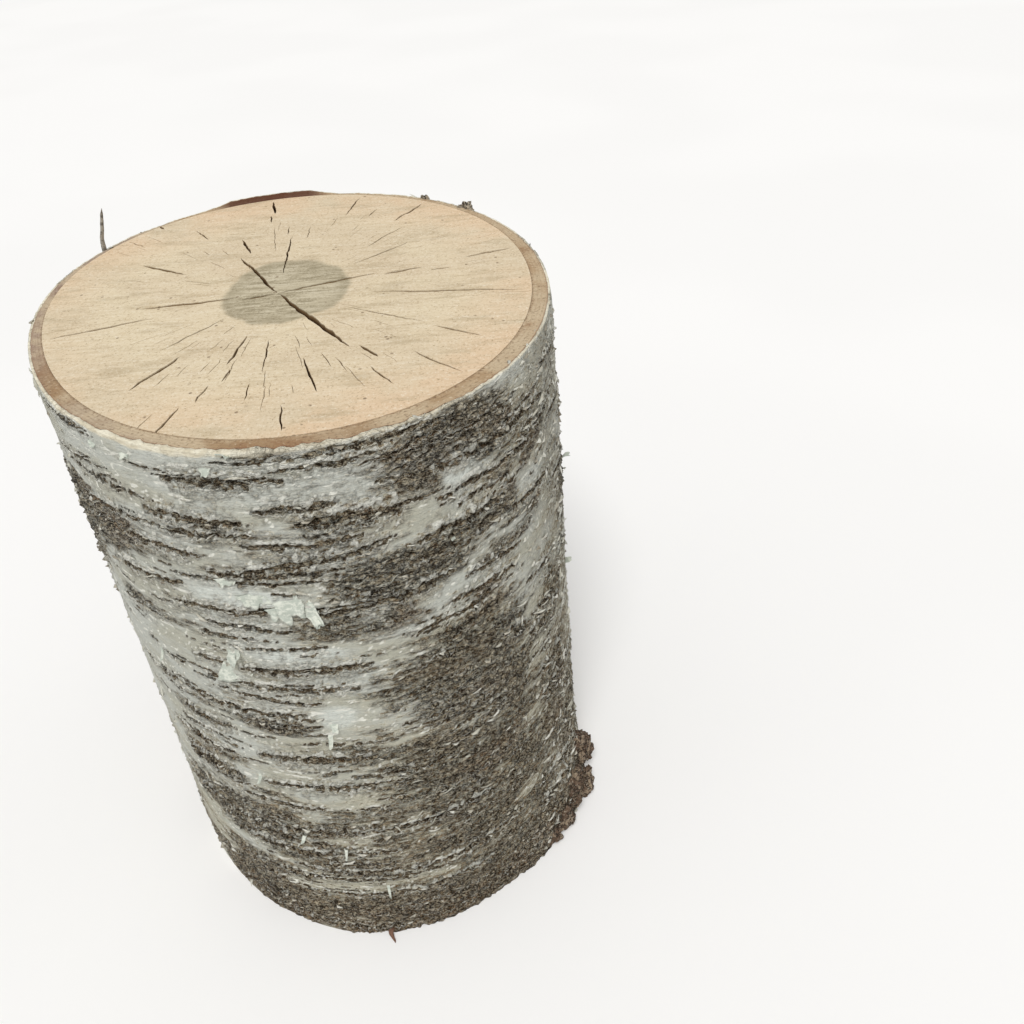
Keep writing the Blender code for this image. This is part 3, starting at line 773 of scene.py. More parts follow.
def paper_sheet(bm, row, rng):
    """One torn flap of outer bark, rooted in the surface and curling away from it."""
    degrees, height, width, length, turn, lean, curl, tip = row
    angle = math.radians(degrees)
    around, outward = map(Vector, directions(angle))
    turn = math.radians(turn)
    along = Vector((0, 0, 1)) * math.cos(turn) + around * math.sin(turn)
    across = around * math.cos(turn) - Vector((0, 0, 1)) * math.sin(turn)
    radius = bark_at(degrees, height * MM) - 0.3 * MM
    root = Vector(round_trunk(radius, angle, height * MM).tolist())
    steps, breadth = 8, 20
    seed = rng.uniform(0, 100)
    rows = []
    spine = root.copy()
    stretch = length * MM / steps
    fringe = min(length, 7) * MM * min(1.0, width / 10)
    for i in range(steps + 1):
        share = i / steps
        tilt = math.radians(lean + curl * share ** 1.3)
        if i:
            spine += (along * math.cos(tilt) + outward * math.sin(tilt)) * stretch
        half = 0.5 * width * MM * (1 + (tip - 1) * share ** 1.4)
        line = []
        for j in range(breadth + 1):
            side = 2 * j / breadth - 1
            place = side * width
            ragged = 1 + 0.30 * noise.noise((share * 4, side * 1.5, seed))
            torn = along * (0.60 * fringe * share * noise.noise((place * 0.14, 0, seed + 7)))
            torn += along * (0.11 * fringe * share * noise.noise((place * 0.9, 0, seed + 17)))
            buckle = outward * (2.4 * MM * share * noise.noise((place * 0.16, share * 1.6, seed + 27)))
            line.append(bm.verts.new(spine + across * (half * side * ragged) + torn + buckle))
        rows.append(line)
    for near, far in zip(rows, rows[1:]):
        for j in range(breadth):
            bm.faces.new((near[j], near[j + 1], far[j + 1], far[j]))


def build_torn_sheets(material):
    bm = bmesh.new()
    rng = random.Random(8)
    for row in TORN_SHEETS:
        paper_sheet(bm, row, rng)
    mesh = mesh_of(bm, "torn_sheets")
    mesh.materials.append(material)
    mesh.shade_smooth()
    item = in_scene("torn_sheets", mesh)
    thick = item.modifiers.new("thickness", "SOLIDIFY")
    thick.thickness = SHEET_THICK
    thick.offset = 0
    item.data = finished_mesh(item)
    item.modifiers.clear()
    keep_inside(item.data)
    return item


def build_burrs(material):
    """Knobbly lumps of cork at the rim and torn lumps at the foot."""
    bm = bmesh.new()
    for number, (degrees, z, stand_off, radius) in enumerate(BURRS):
        angle = math.radians(degrees)
        outward = Vector(directions(angle)[1])
        middle = Vector(round_trunk(bark_at(degrees, z) + stand_off, angle, z).tolist())
        made = bmesh.ops.create_icosphere(bm, subdivisions=4, radius=radius)
        for vert in made["verts"]:
            spot = vert.co / radius
            seed = Vector((number * 4.1, 0, 0))
            knob = 1 + 0.45 * noise.noise(spot * 1.8 + seed) - 0.45 * abs(noise.noise(spot * 3.4 + seed))
            knob += 0.16 * noise.noise(spot * 8 + seed) + 0.10 * noise.noise(spot * 16 + seed)
            flat = vert.co - outward * vert.co.dot(outward) * (1 - BURR_FLATNESS)
            vert.co = middle + flat * knob
            vert.co.z = max(vert.co.z, 0.02 * MM)
            away = Vector((vert.co.x - AXIS[0], vert.co.y - AXIS[1]))
            turn = math.atan2(away.y, away.x)
            least = float(outline(turn) - bark_thickness(turn) * 0.5)
            if away.length < least:
                away *= least / away.length
                vert.co.x, vert.co.y = AXIS[0] + away.x, AXIS[1] + away.y
    mesh = mesh_of(bm, "burrs")
    keep_inside(mesh)
    mesh.materials.append(material)
    mesh.shade_smooth()
    return in_scene("burrs", mesh)


def build_strip(material):
    """The thin rolled strip that stands up past the rim, closed at both ends."""
    angle = math.radians(STRIP_ANGLE)
    around, outward = directions(angle)
    rows, sides = 40, 12
    base = float(plain_radius(angle, HEIGHT))
    points = []
    for i in range(rows):
        share = i / (rows - 1)
        z = STRIP_ROOT + (STRIP_TIP - STRIP_ROOT) * share
        bent = ease(share, 0.45, 1.3)
        lean = STRIP_LEAN * bent - 0.6 * MM + 0.9 * MM * noise.noise((share * 6, 3, 1))
        sway = STRIP_DRIFT * bent + 1.2 * MM * noise.noise((share * 4, 1, 4))
        middle = round_trunk(base + lean, angle, z) + around * sway
        narrow = (1 - 0.6 * share) * (1 + 0.25 * noise.noise((share * 14, 6, 2)))
        narrow *= min(1, (1 - share) * 12 + 0.1)
        for k in range(sides):
            turn = 2 * math.pi * k / sides
            points.append(middle + around * (0.5 * STRIP_WIDTH * narrow * math.cos(turn))
                          + outward * (0.5 * STRIP_THICK * narrow * math.sin(turn)
                                       + 0.4 * STRIP_THICK * narrow * math.cos(turn) ** 2))
    faces = grid_faces(rows, sides, close_columns=True)
    faces.append(list(range(sides))[::-1])
    faces.append([(rows - 1) * sides + k for k in range(sides)])
    return new_piece("standing_strip", inside_box(np.array(points)), [f[::-1] for f in faces], material)


def build_splinter(material):
    """A splinter of bark that sticks out from under the front of the foot."""
    angle = math.radians(SPLINTER_ANGLE)
    around, outward = directions(angle)
    root = round_trunk(bark_at(SPLINTER_ANGLE, 2 * MM) - 2.5 * MM, angle, 2.6 * MM)
    rows, sides = 12, 8
    points = []
    for i in range(rows):
        share = i / (rows - 1)
        middle = root + outward * (SPLINTER_REACH + 2.5 * MM) * share
        middle = middle + around * (2.2 * MM * share ** 2 + 0.4 * MM * math.sin(9 * share))
        middle[2] -= 1.7 * MM * ease(share, 0, 1)
        half = 1.9 * MM * (1 - share) ** 0.7 + 0.12 * MM
        for k in range(sides):
            turn = 2 * math.pi * k / sides
            knob = 1 + 0.3 * noise.noise((share * 6, k * 0.9, 2))
            points.append(middle + around * (half * knob * math.cos(turn))
                          + np.array((0, 0, 0.45 * half * knob * math.sin(turn))))
    faces = grid_faces(rows, sides, close_columns=True)
    faces.append(list(range(sides)))
    faces.append([(rows - 1) * sides + k for k in range(sides)])
    return new_piece("foot_splinter", inside_box(np.array(points)), faces, material)


def curl_shapes(name, widths, lengths, curls, rng):
    """A few slim crescents of bark, rooted along their long edge, that the scattered ones are copies of."""
    shapes = bpy.data.collections.new(name)
    bpy.context.scene.collection.children.link(shapes)
    for number in range(8):
        width, length, curl = (rng.uniform(*span) for span in (widths, lengths, curls))
        side_steps, steps = 6, 3
        skew = rng.uniform(-0.5, 0.5)
        bow = rng.uniform(-0.2, 0.2) * width
        top = []
        for i in range(steps):
            share = i / (steps - 1)
            tilt = curl * share
            for j in range(side_steps):
                side = 2 * j / (side_steps - 1) - 1
                full = (1 - side * side) ** 0.6 * (1 + skew * side) * rng.uniform(0.65, 1.2) + 0.06
                reach = length * share * full
                up = reach * math.cos(tilt) + bow * side * side
                top.append(Vector((0.5 * width * side, up, reach * math.sin(tilt))))
        bottom = [spot - Vector((0, 0, CURL_THICK)) for spot in top]
        count = side_steps * steps
        upper = grid_faces(steps, side_steps)
        under = [[v + count for v in face[::-1]] for face in upper]
        rim = [0, 1, 2, 3, 4, 5, 11, 17, 16, 15, 14, 13, 12, 6]
        sides = [[rim[i], rim[i - 1], rim[i - 1] + count, rim[i] + count] for i in range(len(rim))]
        mesh = bpy.data.meshes.new(f"{name} {number}")
        mesh.from_pydata(top + bottom, [], upper + under + sides)
        face_outwards(mesh)
        mesh.shade_smooth()
        shapes.objects.link(bpy.data.objects.new(f"{name} {number}", mesh))
    return shapes


def scatter_tree():
    """Geometry Nodes: copies of small shapes over a surface, most where its "loose" cover is high."""
    tree = bpy.data.node_groups.new("scattered sheets", "GeometryNodeTree")
    face = tree.interface
    face.new_socket("Geometry", in_out="OUTPUT", socket_type="NodeSocketGeometry")
    for name, kind in (("Geometry", "Geometry"), ("Shapes", "Collection"), ("Material", "Material"),
                       ("Sheets per m2", "Float"), ("Smallest", "Float"), ("Largest", "Float"),
                       ("Seed", "Int")):
        face.new_socket(name, in_out="INPUT", socket_type="NodeSocket" + kind)
    given = add(tree, "NodeGroupInput")
    loose = add(tree, "GeometryNodeInputNamedAttribute", {"Name": "loose"}, data_type="FLOAT")["Attribute"]
    density = add(tree, "ShaderNodeMath", {0: loose, 1: given["Sheets per m2"]}, operation="MULTIPLY")[0]
    spots = add(tree, "GeometryNodeDistributePointsOnFaces",
                {"Mesh": given["Geometry"], "Density": density, "Seed": given["Seed"]})
    facing = add(tree, "FunctionNodeAlignRotationToVector", {"Vector": spots["Normal"]}, axis="Z")[0]
    upright = add(tree, "FunctionNodeAlignRotationToVector", {"Rotation": facing, "Vector": (0, 0, 1)},
                  axis="Y", pivot_axis="Z")[0]
    tumble = add(tree, "FunctionNodeRandomValue",
                 {0: (-0.1, -0.3, -0.35), 1: (0.7, 0.3, 0.35), "Seed": given["Seed"]},
                 data_type="FLOAT_VECTOR")[0]
    flip = add(tree, "FunctionNodeRandomValue", {4: 0, 5: 1, "Seed": 9}, data_type="INT")[2]
    half_turn = add(tree, "ShaderNodeMath", {0: flip, 1: math.pi}, operation="MULTIPLY")[0]
    spin = add(tree, "ShaderNodeCombineXYZ", {2: half_turn})[0]
    turned = add(tree, "FunctionNodeRotateRotation", {0: upright, 1: spin}, rotation_space="LOCAL")[0]
    thrown = add(tree, "FunctionNodeRotateRotation", {0: turned, 1: tumble}, rotation_space="LOCAL")[0]
    size = add(tree, "FunctionNodeRandomValue",
               {2: given["Smallest"], 3: given["Largest"], "Seed": 3}, data_type="FLOAT")[1]
    shapes = add(tree, "GeometryNodeCollectionInfo",
                 {"Collection": given["Shapes"], "Separate Children": True, "Reset Children": True})[0]
    copies = add(tree, "GeometryNodeInstanceOnPoints",
                 {"Points": spots["Points"], "Instance": shapes, "Pick Instance": True,
                  "Rotation": thrown, "Scale": size})[0]
    tone = add(tree, "FunctionNodeRandomValue", {2: 0.0, 3: 1.0, "Seed": 21}, data_type="FLOAT")[1]
    toned = add(tree, "GeometryNodeStoreNamedAttribute",
                {"Geometry": copies, "Name": "tone", "Value": tone}, data_type="FLOAT", domain="INSTANCE")[0]
    real = add(tree, "GeometryNodeRealizeInstances", {"Geometry": toned})[0]
    dressed = add(tree, "GeometryNodeSetMaterial", {"Geometry": real, "Material": given["Material"]})[0]
    add(tree, "NodeGroupOutput", {0: dressed})
    return tree


def scatter(name, sectors, shapes, material, weights, per_area, sizes, seed):
    """Loose sheets over the bark, made one plain mesh; weights say which covers carry them."""
    tree = scatter_tree()
    joined = bmesh.new()
    for number, sector in enumerate(sectors):
        ground = in_scene("ground", sector.data.copy())
        points = read_points(ground.data)
        x, y = points[:, 0] - AXIS[0], points[:, 1] - AXIS[1]
        outside = np.hypot(x, y) > plain_radius(np.arctan2(y, x), points[:, 2]) - 2.2 * MM
        loose = outside * sum(weight * read_cover(ground.data, cover) for cover, weight in weights.items())
        store_cover(ground.data, "loose", np.clip(loose, 0, None))
        modifier = ground.modifiers.new("scatter", "NODES")
        modifier.node_group = tree
        given = {"Shapes": shapes, "Material": material, "Sheets per m2": float(per_area),
                 "Smallest": sizes[0], "Largest": sizes[1], "Seed": seed + number}
        for item in tree.interface.items_tree:
            if item.name in given:
                modifier[item.identifier] = given[item.name]
        joined.from_mesh(finished_mesh(ground))
        bpy.data.objects.remove(ground)
    for shape in list(shapes.objects):
        bpy.data.objects.remove(shape)
    bpy.data.collections.remove(shapes)
    mesh = mesh_of(joined, name)
    mesh.materials.clear()
    mesh.materials.append(material)
    keep_inside(mesh)
    return in_scene(name, mesh)


def add(tree, kind, inputs=None, **settings):
    """Add a node, set its settings, link or fill its inputs, and give its outputs."""
    node = tree.nodes.new(kind)
    for name, value in settings.items():
        setattr(node, name, value)
    for name, value in (inputs or {}).items():
        if isinstance(value, bpy.types.NodeSocket):
            tree.links.new(value, node.inputs[name])
        else:
            node.inputs[name].default_value = value
    return node.outputs


def colour(code):
    """An sRGB hex value as linear red, green, blue and alpha."""
    parts = [int(code[i:i + 2], 16) / 255 for i in (1, 3, 5)]
    return (*[c / 12.92 if c <= 0.04045 else ((c + 0.055) / 1.055) ** 2.4 for c in parts], 1)


def new_material(name):
    material = bpy.data.materials.new(name)
    material.use_nodes = True
    tree = material.node_tree
    tree.nodes.clear()
    return material, tree


SMOOTH = {"interpolation_type": "SMOOTHSTEP"}


def finish_material(tree, base, rough, height, distance, shine):
    """Bump, shader and output: base and rough are sockets or values, height is the bump's socket."""
    bump = add(tree, "ShaderNodeBump", {"Height": height, "Distance": distance, "Strength": 1.0})[0]
    shader = add(tree, "ShaderNodeBsdfPrincipled", {"Base Color": base, "Roughness": rough, "Normal": bump,
                                                    "Specular IOR Level": shine})[0]
    add(tree, "ShaderNodeOutputMaterial", {"Surface": shader})


def level_noise(tree, across, up, detail=3.0, rough=0.6, turn=0):
    """Noise on Object coordinates, its features across metres wide and up metres high.

    With a turn in degrees it lies flat instead, for a sawn end, and up is how deep they are.
    """
    place = add(tree, "ShaderNodeTexCoord")["Object"]
    scale = (1 / across, 1 / across, 1 / up) if turn == 0 else (1 / across, 1 / up, 1)
    turned = (0, 0, math.radians(turn))
    scaled = add(tree, "ShaderNodeMapping", {"Vector": place, "Rotation": turned, "Scale": scale})[0]
    return add(tree, "ShaderNodeTexNoise", {"Vector": scaled, "Scale": 1.0, "Detail": detail,
                                            "Roughness": rough})["Fac"]


def coat(tree, under, code, pattern, low, high, most=1.0, within=None):
    """A coat of colour over what lies under it: none where the pattern is low, most where it is high."""
    share = add(tree, "ShaderNodeMapRange", {0: pattern, 1: low, 2: high, 3: 0.0, 4: most}, **SMOOTH)[0]
    if within is not None:
        share = add(tree, "ShaderNodeMath", {0: share, 1: within}, operation="MULTIPLY")[0]
    return add(tree, "ShaderNodeMix", {0: share, 6: under, 7: colour(code)}, data_type="RGBA")[2]


def coats(tree, under, *rows):
    """One coat over another, each row as what coat is given after the colour that lies under it."""
    for row in rows:
        under = coat(tree, under, *row)
    return under


def weigh(tree, start, *patterns):
    """Patterns brought together, each as (socket, weight)."""
    total = start
    for socket, weight in patterns:
        total = add(tree, "ShaderNodeMath", {0: socket, 1: weight, 2: total}, operation="MULTIPLY_ADD")[0]
    return total


def scale_cells(tree, across, up):
    """Small uneven cells on the bark: a chance tone for each, and a crack where two meet."""
    place = add(tree, "ShaderNodeTexCoord")["Object"]
    coarse = add(tree, "ShaderNodeMapping",
                 {"Vector": place, "Scale": (0.6 / across, 0.6 / across, 0.6 / up)})[0]
    wobble = add(tree, "ShaderNodeTexNoise", {"Vector": coarse, "Scale": 1.0, "Detail": 3.0})["Color"]
    moved = add(tree, "ShaderNodeVectorMath",
                {0: wobble, 1: (1.6 * across, 1.6 * across, 1.6 * up), 2: place},
                operation="MULTIPLY_ADD")[0]
    scaled = add(tree, "ShaderNodeMapping",
                 {"Vector": moved, "Scale": (1 / across, 1 / across, 1 / up)})[0]
    cells = add(tree, "ShaderNodeTexVoronoi", {"Vector": scaled, "Scale": 1.0}, feature="F1")["Color"]
    seams = add(tree, "ShaderNodeTexVoronoi", {"Vector": scaled, "Scale": 1.0}, feature="DISTANCE_TO_EDGE")[0]
    tone = add(tree, "ShaderNodeSeparateXYZ", {0: cells})[0]
    return tone, add(tree, "ShaderNodeMapRange", {0: seams, 1: 0.12, 2: 0.02}, **SMOOTH)[0]


def crossing(tree, pattern, level=0.5):
    """How far a pattern is from one of its levels, which it passes along thin wandering lines."""
    off = add(tree, "ShaderNodeMath", {0: pattern, 1: level}, operation="SUBTRACT")[0]
    return add(tree, "ShaderNodeMath", {0: off}, operation="ABSOLUTE")[0]


def papery_bark():
    """Birch bark: dull white cork in paper layers that weathers through beige and brown to black, with
    painted shade in the relief's hollows and painted highlights on its ridges and on the edges of its layers
    and bands.
    """
    material, tree = new_material("papery birch bark")
    rough, band, painted_relief_shade, lip, frayed, damp, foot_and_side_darkening, fresh = [
        add(tree, "ShaderNodeAttribute", attribute_name=name)["Fac"]
        for name in ("rough", "band", "painted_relief_shade", "lip", "frayed", "damp", "foot_and_side_darkening", "fresh")]
    clouds = level_noise(tree, 0.034, 0.018)
    streaks = level_noise(tree, 0.015, 0.0013, 4)
    dashes = level_noise(tree, 0.0075, 0.0007, 3)
    speckle = level_noise(tree, 0.0022, 0.0011, 5, 0.72)
    grains = level_noise(tree, 0.0027, 0.0009, 2, 0.6)
    chips = level_noise(tree, 0.0052, 0.0021, 5, 0.62)
    dust = level_noise(tree, 0.0075, 0.0045, 4)
    tint = level_noise(tree, 0.050, 0.020)
    hatch = level_noise(tree, 0.0011, 0.0036, 3)
    dots = level_noise(tree, 0.0010, 0.0006, 3, 0.75)
    scale_tone, scale_crack = scale_cells(tree, 0.0030, 0.0014)
    level_cracks = crossing(tree, level_noise(tree, 0.0120, 0.0036, 4, 0.6))
    steep_cracks = crossing(tree, level_noise(tree, 0.0046, 0.0062, 4, 0.6))

    scarred = add(tree, "ShaderNodeMath", {0: rough, 1: band}, operation="MAXIMUM")[0]
    swing = add(tree, "ShaderNodeMapRange", {0: scarred, 1: 0.0, 2: 0.8, 3: 0.16, 4: 1.0})[0]
    grit = weigh(tree, -3.44, (speckle, 2.9), (chips, 2.1), (dust, 0.5), (hatch, 1.1), (scale_tone, 0.24))
    grit = add(tree, "ShaderNodeMath", {0: grit, 1: swing}, operation="MULTIPLY")[0]
    # Wear of the bark and painted shade together: the relief cover makes it higher in hollows and lower on
    # ridges, so the weathered tones that follow also paint shade into hollows and light onto ridges.
    wear_and_relief_shade = weigh(tree, -1.00, (rough, 0.26), (band, 0.46), (grit, 1.15), (streaks, 0.70), (painted_relief_shade, 0.68),
                 (clouds, 0.34), (foot_and_side_darkening, 0.36), (fresh, -0.20))

    base = coats(
        tree, colour("#C3C5BC"),
        ("#B8B7A8", tint, 0.45, 0.65),
        # Beige darkening towards the foot and round one side.
        ("#B1AD98", foot_and_side_darkening, 0.15, 0.95, 0.85),
        ("#D6DAD2", fresh, 0.2, 0.9, 0.9),
        ("#D3D4CB", streaks, 0.56, 0.76, 0.5),
        ("#A1A094", streaks, 0.46, 0.30, 0.40),
        ("#8B897C", dashes, 0.60, 0.76, 0.55),
        ("#ADA793", wear_and_relief_shade, 0.02, 0.24),
        ("#9E8F74", wear_and_relief_shade, 0.24, 0.46),
        ("#8E6B4B", damp, 0.1, 0.9, 0.75, scarred),
        ("#866B4C", wear_and_relief_shade, 0.46, 0.74),
        ("#AB9B82", clouds, 0.44, 0.60, 0.65, rough),
        ("#281C0F", wear_and_relief_shade, 0.72, 0.98),
        ("#DEDBCC", wear_and_relief_shade, 0.02, -0.22, 0.85, scarred),
        ("#29231B", scale_crack, 0.2, 1.0, 0.45, rough),
        ("#CFC1A4", speckle, 0.57, 0.66, 0.7, scarred),
        ("#221A10", level_cracks, 0.064, 0.018, 0.85, scarred),
        ("#221A10", steep_cracks, 0.050, 0.014, 0.65, scarred),
        ("#382C1D", grains, 0.47, 0.36, 0.62, swing),
        ("#D8CBAE", grains, 0.53, 0.63, 0.60, swing),
        # Painted highlight and painted shadow: a thin pale line and a thin dark line along the edges of the
        # worn patches, standing for the lit and shaded sides of the paper layers' edges.
        ("#DCD9CA", crossing(tree, wear_and_relief_shade, 0.13), 0.05, 0.015, 0.55),
        ("#221A10", crossing(tree, wear_and_relief_shade, 0.36), 0.06, 0.015, 0.80),
        # The papery lips and torn layer edges: pale cream paper, brightened further as a painted highlight.
        ("#E7E6DB", lip, 0.12, 0.50, 0.95))
    # Painted highlight: the thin bright line where band_edge crosses its level runs along the outline of each
    # corky band.
    band_edge = weigh(tree, 0.0, (band, 1.0), (speckle, 0.5), (hatch, 0.3))
    base = coats(
        tree, base,
        ("#EAE9DE", crossing(tree, band_edge, 0.56), 0.075, 0.025, 0.90),
        ("#1D170E", speckle, 0.42, 0.335, 0.85, scarred),
        ("#1D170E", chips, 0.40, 0.33, 0.60, scarred),
        ("#DDD1B6", chips, 0.60, 0.67, 0.50, scarred),
        ("#171009", dots, 0.45, 0.38, 0.70, swing),
        ("#E4DAC2", dots, 0.56, 0.63, 0.55, swing))
    cream = coat(tree, colour("#EFE8D2"), "#D9CFB6", dust, 0.4, 0.62)
    base = add(tree, "ShaderNodeMix", {0: frayed, 6: base, 7: cream}, data_type="RGBA")[2]

    dull = add(tree, "ShaderNodeMapRange", {0: wear_and_relief_shade, 1: 0.0, 2: 0.5, 3: 0.62, 4: 0.92})[0]
    height = weigh(tree, 0.0, (speckle, 0.8), (chips, 1.3), (dust, 0.5), (scale_tone, 0.3),
                   (scale_crack, -0.3), (band, -0.25), (grains, 0.30), (dots, 0.25))
    height = add(tree, "ShaderNodeMath", {0: height, 1: swing}, operation="MULTIPLY")[0]
    height = weigh(tree, 0.0, (height, 1.0), (streaks, 0.30), (dashes, 0.05))
    finish_material(tree, base, dull, height, 2.6 * MM, 0.15)
    return material


def sawn_inner_bark():
    """Bast and inner bark cut across by the saw: dull ochre to red-brown, darkest at the ledge."""
    material, tree = new_material("sawn inner bark")
    depth = add(tree, "ShaderNodeAttribute", attribute_name="depth")["Fac"]
    ledge = add(tree, "ShaderNodeAttribute", attribute_name="ledge")["Fac"]
    clouds = level_noise(tree, 0.022, 0.022)
    grit = level_noise(tree, 0.0014, 0.0014, 5, 0.7)
    wide = level_noise(tree, 0.085, 0.085, 1)
    rings = weigh(tree, 0.0, (depth, 26.0), (clouds, 9.0))
    wave = add(tree, "ShaderNodeMath", {0: rings}, operation="SINE")[0]
    sideways = add(tree, "ShaderNodeSeparateXYZ", {0: add(tree, "ShaderNodeTexCoord")["Object"]})[0]
    base = coats(
        tree, colour("#B9A68C"),
        ("#A58866", wide, 0.44, 0.56),
        ("#A08C80", sideways, -0.090, -0.125, 0.75),
        ("#BFA684", sideways, 0.040, 0.110, 0.65),
        ("#CBB899", clouds, 0.40, 0.62, 0.8),
        ("#957150", clouds, 0.42, 0.30, 0.7),
        ("#8E6B50", wave, 0.1, 1.0, 0.15),
        ("#6F5642", grit, 0.47, 0.34, 0.65),
        ("#DACBB2", grit, 0.55, 0.70, 0.55),
        ("#7E6247", weigh(tree, 0.0, (depth, 1.0), (grit, 0.5)), 0.40, 0.20, 0.7),
        ("#855F49", depth, 0.88, 0.99, 0.60),
        ("#5C3527", ledge, 0.35, 0.75, 0.9))
    height = weigh(tree, 0.0, (grit, 0.6), (wave, 0.08), (clouds, 0.4))
    finish_material(tree, base, 0.8, height, 0.5 * MM, 0.3)
    return material


def sawn_birch():
    """Birch end grain off the saw, dried: cream with dull smears, faint saw lines, a grey-olive heart."""
    material, tree = new_material("sawn birch end grain")
    place = add(tree, "ShaderNodeTexCoord")["Object"]
    centre = (PITH[0] + AXIS[0], PITH[1] + AXIS[1], 0)
    from_pith = add(tree, "ShaderNodeVectorMath", {0: place, 1: centre}, operation="SUBTRACT")[0]
    flat = add(tree, "ShaderNodeVectorMath", {0: from_pith, 1: (1, 1, 0)}, operation="MULTIPLY")[0]
    away = add(tree, "ShaderNodeVectorMath", {0: flat}, operation="LENGTH")["Value"]
    level = add(tree, "ShaderNodeSeparateXYZ", {0: from_pith})[2]
    clouds = level_noise(tree, 0.055, 0.055)
    small = level_noise(tree, 0.012, 0.012, 4)
    pores = level_noise(tree, 0.0011, 0.0011, 4, 0.7)
    saw = level_noise(tree, 0.016, 0.0019, 4, turn=-5)
    smears = level_noise(tree, 0.030, 0.0085, 5, turn=-8)

    base = coat(tree, colour("#D8C6A8"), "#E0D0B1", clouds, 0.35, 0.65)
    edge = add(tree, "ShaderNodeMapRange", {0: away, 1: 0.080, 2: 0.140}, **SMOOTH)[0]
    base = coats(
        tree, base,
        ("#DDBB98", clouds, 0.38, 0.60, 0.6, edge),
        ("#B7A585", smears, 0.50, 0.70, 0.55),
        ("#C4AC86", small, 0.56, 0.75, 0.30),
        ("#F0E5CE", saw, 0.52, 0.70, 0.28),
        ("#A8936F", saw, 0.47, 0.28, 0.26),
        ("#957E5C", pores, 0.45, 0.32, 0.65),
        ("#F4EBD8", pores, 0.55, 0.67, 0.55))

    moved = add(tree, "ShaderNodeMapping", {"Vector": flat, "Location": (-4.5 * MM, -2.5 * MM, 0),
                                            "Scale": (1.16, 0.94, 0)})[0]
    heart_away = add(tree, "ShaderNodeVectorMath", {0: moved}, operation="LENGTH")["Value"]
    heart_edge = weigh(tree, -0.0105, (heart_away, 1.0), (small, 0.007), (clouds, 0.014))
    heart = add(tree, "ShaderNodeMapRange", {0: heart_edge, 1: 0.0385, 2: 0.0345, 4: 0.92}, **SMOOTH)[0]
    stain = coats(
        tree, colour("#A89D82"),
        ("#B9AE93", small, 0.40, 0.62),
        ("#D3C9B0", saw, 0.51, 0.60, 0.7),
        ("#857A60", saw, 0.48, 0.38, 0.6),
        ("#7C7159", pores, 0.47, 0.35, 0.7),
        ("#D6CCB4", pores, 0.54, 0.66, 0.6),
        ("#CBC0A5", smears, 0.51, 0.62, 0.6),
        ("#978B70", heart_edge, 0.024, 0.036, 0.4))
    base = add(tree, "ShaderNodeMix", {0: heart, 6: base, 7: stain}, data_type="RGBA")[2]

    # Painted shade: below the sawn face, down in the checks, the wood darkens to brown and then to dark
    # brown.
    deep, deeper = [
        add(tree, "ShaderNodeMapRange", {0: level, 1: HEIGHT - near * MM, 2: HEIGHT - far * MM}, **SMOOTH)[0]
        for near, far in ((0.42, 0.8), (0.7, 2.6))]
    base = coats(
        tree, base,
        ("#8A6B44", level, 0.5 * MM, 3.0 * MM, 0.9, deep),
        ("#573D23", level, 0.5 * MM, 3.0 * MM, 0.9, deeper))
    fleck_place = add(tree, "ShaderNodeMapping", {"Vector": place, "Scale": (160, 160, 160)})[0]
    fleck = add(tree, "ShaderNodeTexVoronoi", {"Vector": fleck_place, "Scale": 1.0})["Distance"]
    dotted = add(tree, "ShaderNodeMapRange", {0: small, 1: 0.50, 2: 0.60}, **SMOOTH)[0]
    base = coat(tree, base, "#86715A", fleck, 0.16, 0.09, 0.8, within=dotted)
    height = weigh(tree, 0.0, (saw, 0.35), (pores, 0.25), (smears, 0.3))
    finish_material(tree, base, 0.8, height, 0.45 * MM, 0.25)
    return material


def torn_paper(name, light, dark, warm):
    """Thin shed bark: cream inside, grey where it has weathered."""
    material, tree = new_material(name)
    tone = add(tree, "ShaderNodeAttribute", attribute_name="tone")["Fac"]
    clouds = level_noise(tree, 0.0040, 0.0020, 4)
    creases = level_noise(tree, 0.0016, 0.0012, 3)
    base = coats(
        tree, colour(light),
        (dark, tone, 0.25, 0.85),
        (warm, clouds, 0.45, 0.62, 0.8),
        (warm, creases, 0.47, 0.36, 0.7))
    finish_material(tree, base, 0.7, weigh(tree, 0.0, (clouds, 1.0), (creases, 0.5)), 0.5 * MM, 0.35)
    return material


def corky_burr():
    """Cork and dead bark in knobs: grey-brown with dark cracks."""
    material, tree = new_material("corky burr")
    patches = level_noise(tree, 0.0060, 0.0050, 4)
    speckle = level_noise(tree, 0.0016, 0.0012, 5, 0.7)
    place = add(tree, "ShaderNodeTexCoord")["Object"]
    level = add(tree, "ShaderNodeSeparateXYZ", {0: place})[2]
    base = coats(
        tree, colour("#8F8474"),
        ("#BDB4A1", patches, 0.40, 0.60),
        ("#67503F", level, 0.12, 0.06, 0.85),
        ("#A08E77", patches, 0.50, 0.62, 0.8),
        ("#29211A", crossing(tree, patches), 0.05, 0.01, 0.9),
        ("#2E271F", speckle, 0.47, 0.37, 0.9),
        ("#D0C8B4", speckle, 0.56, 0.66, 0.7))
    finish_material(tree, base, 0.9, weigh(tree, 0.0, (speckle, 1.0), (patches, 0.6)), 0.9 * MM, 0.25)
    return material


def pale_floor():
    """Plain matt card, near white."""
    material, tree = new_material("matt white card")
    even = level_noise(tree, 0.6, 0.6, 1)
    base = coat(tree, colour("#F6F5F3"), "#F8F7F5", even, 0.4, 0.6)
    finish_material(tree, base, 0.9, even, 0.1 * MM, 0.1)
    return material


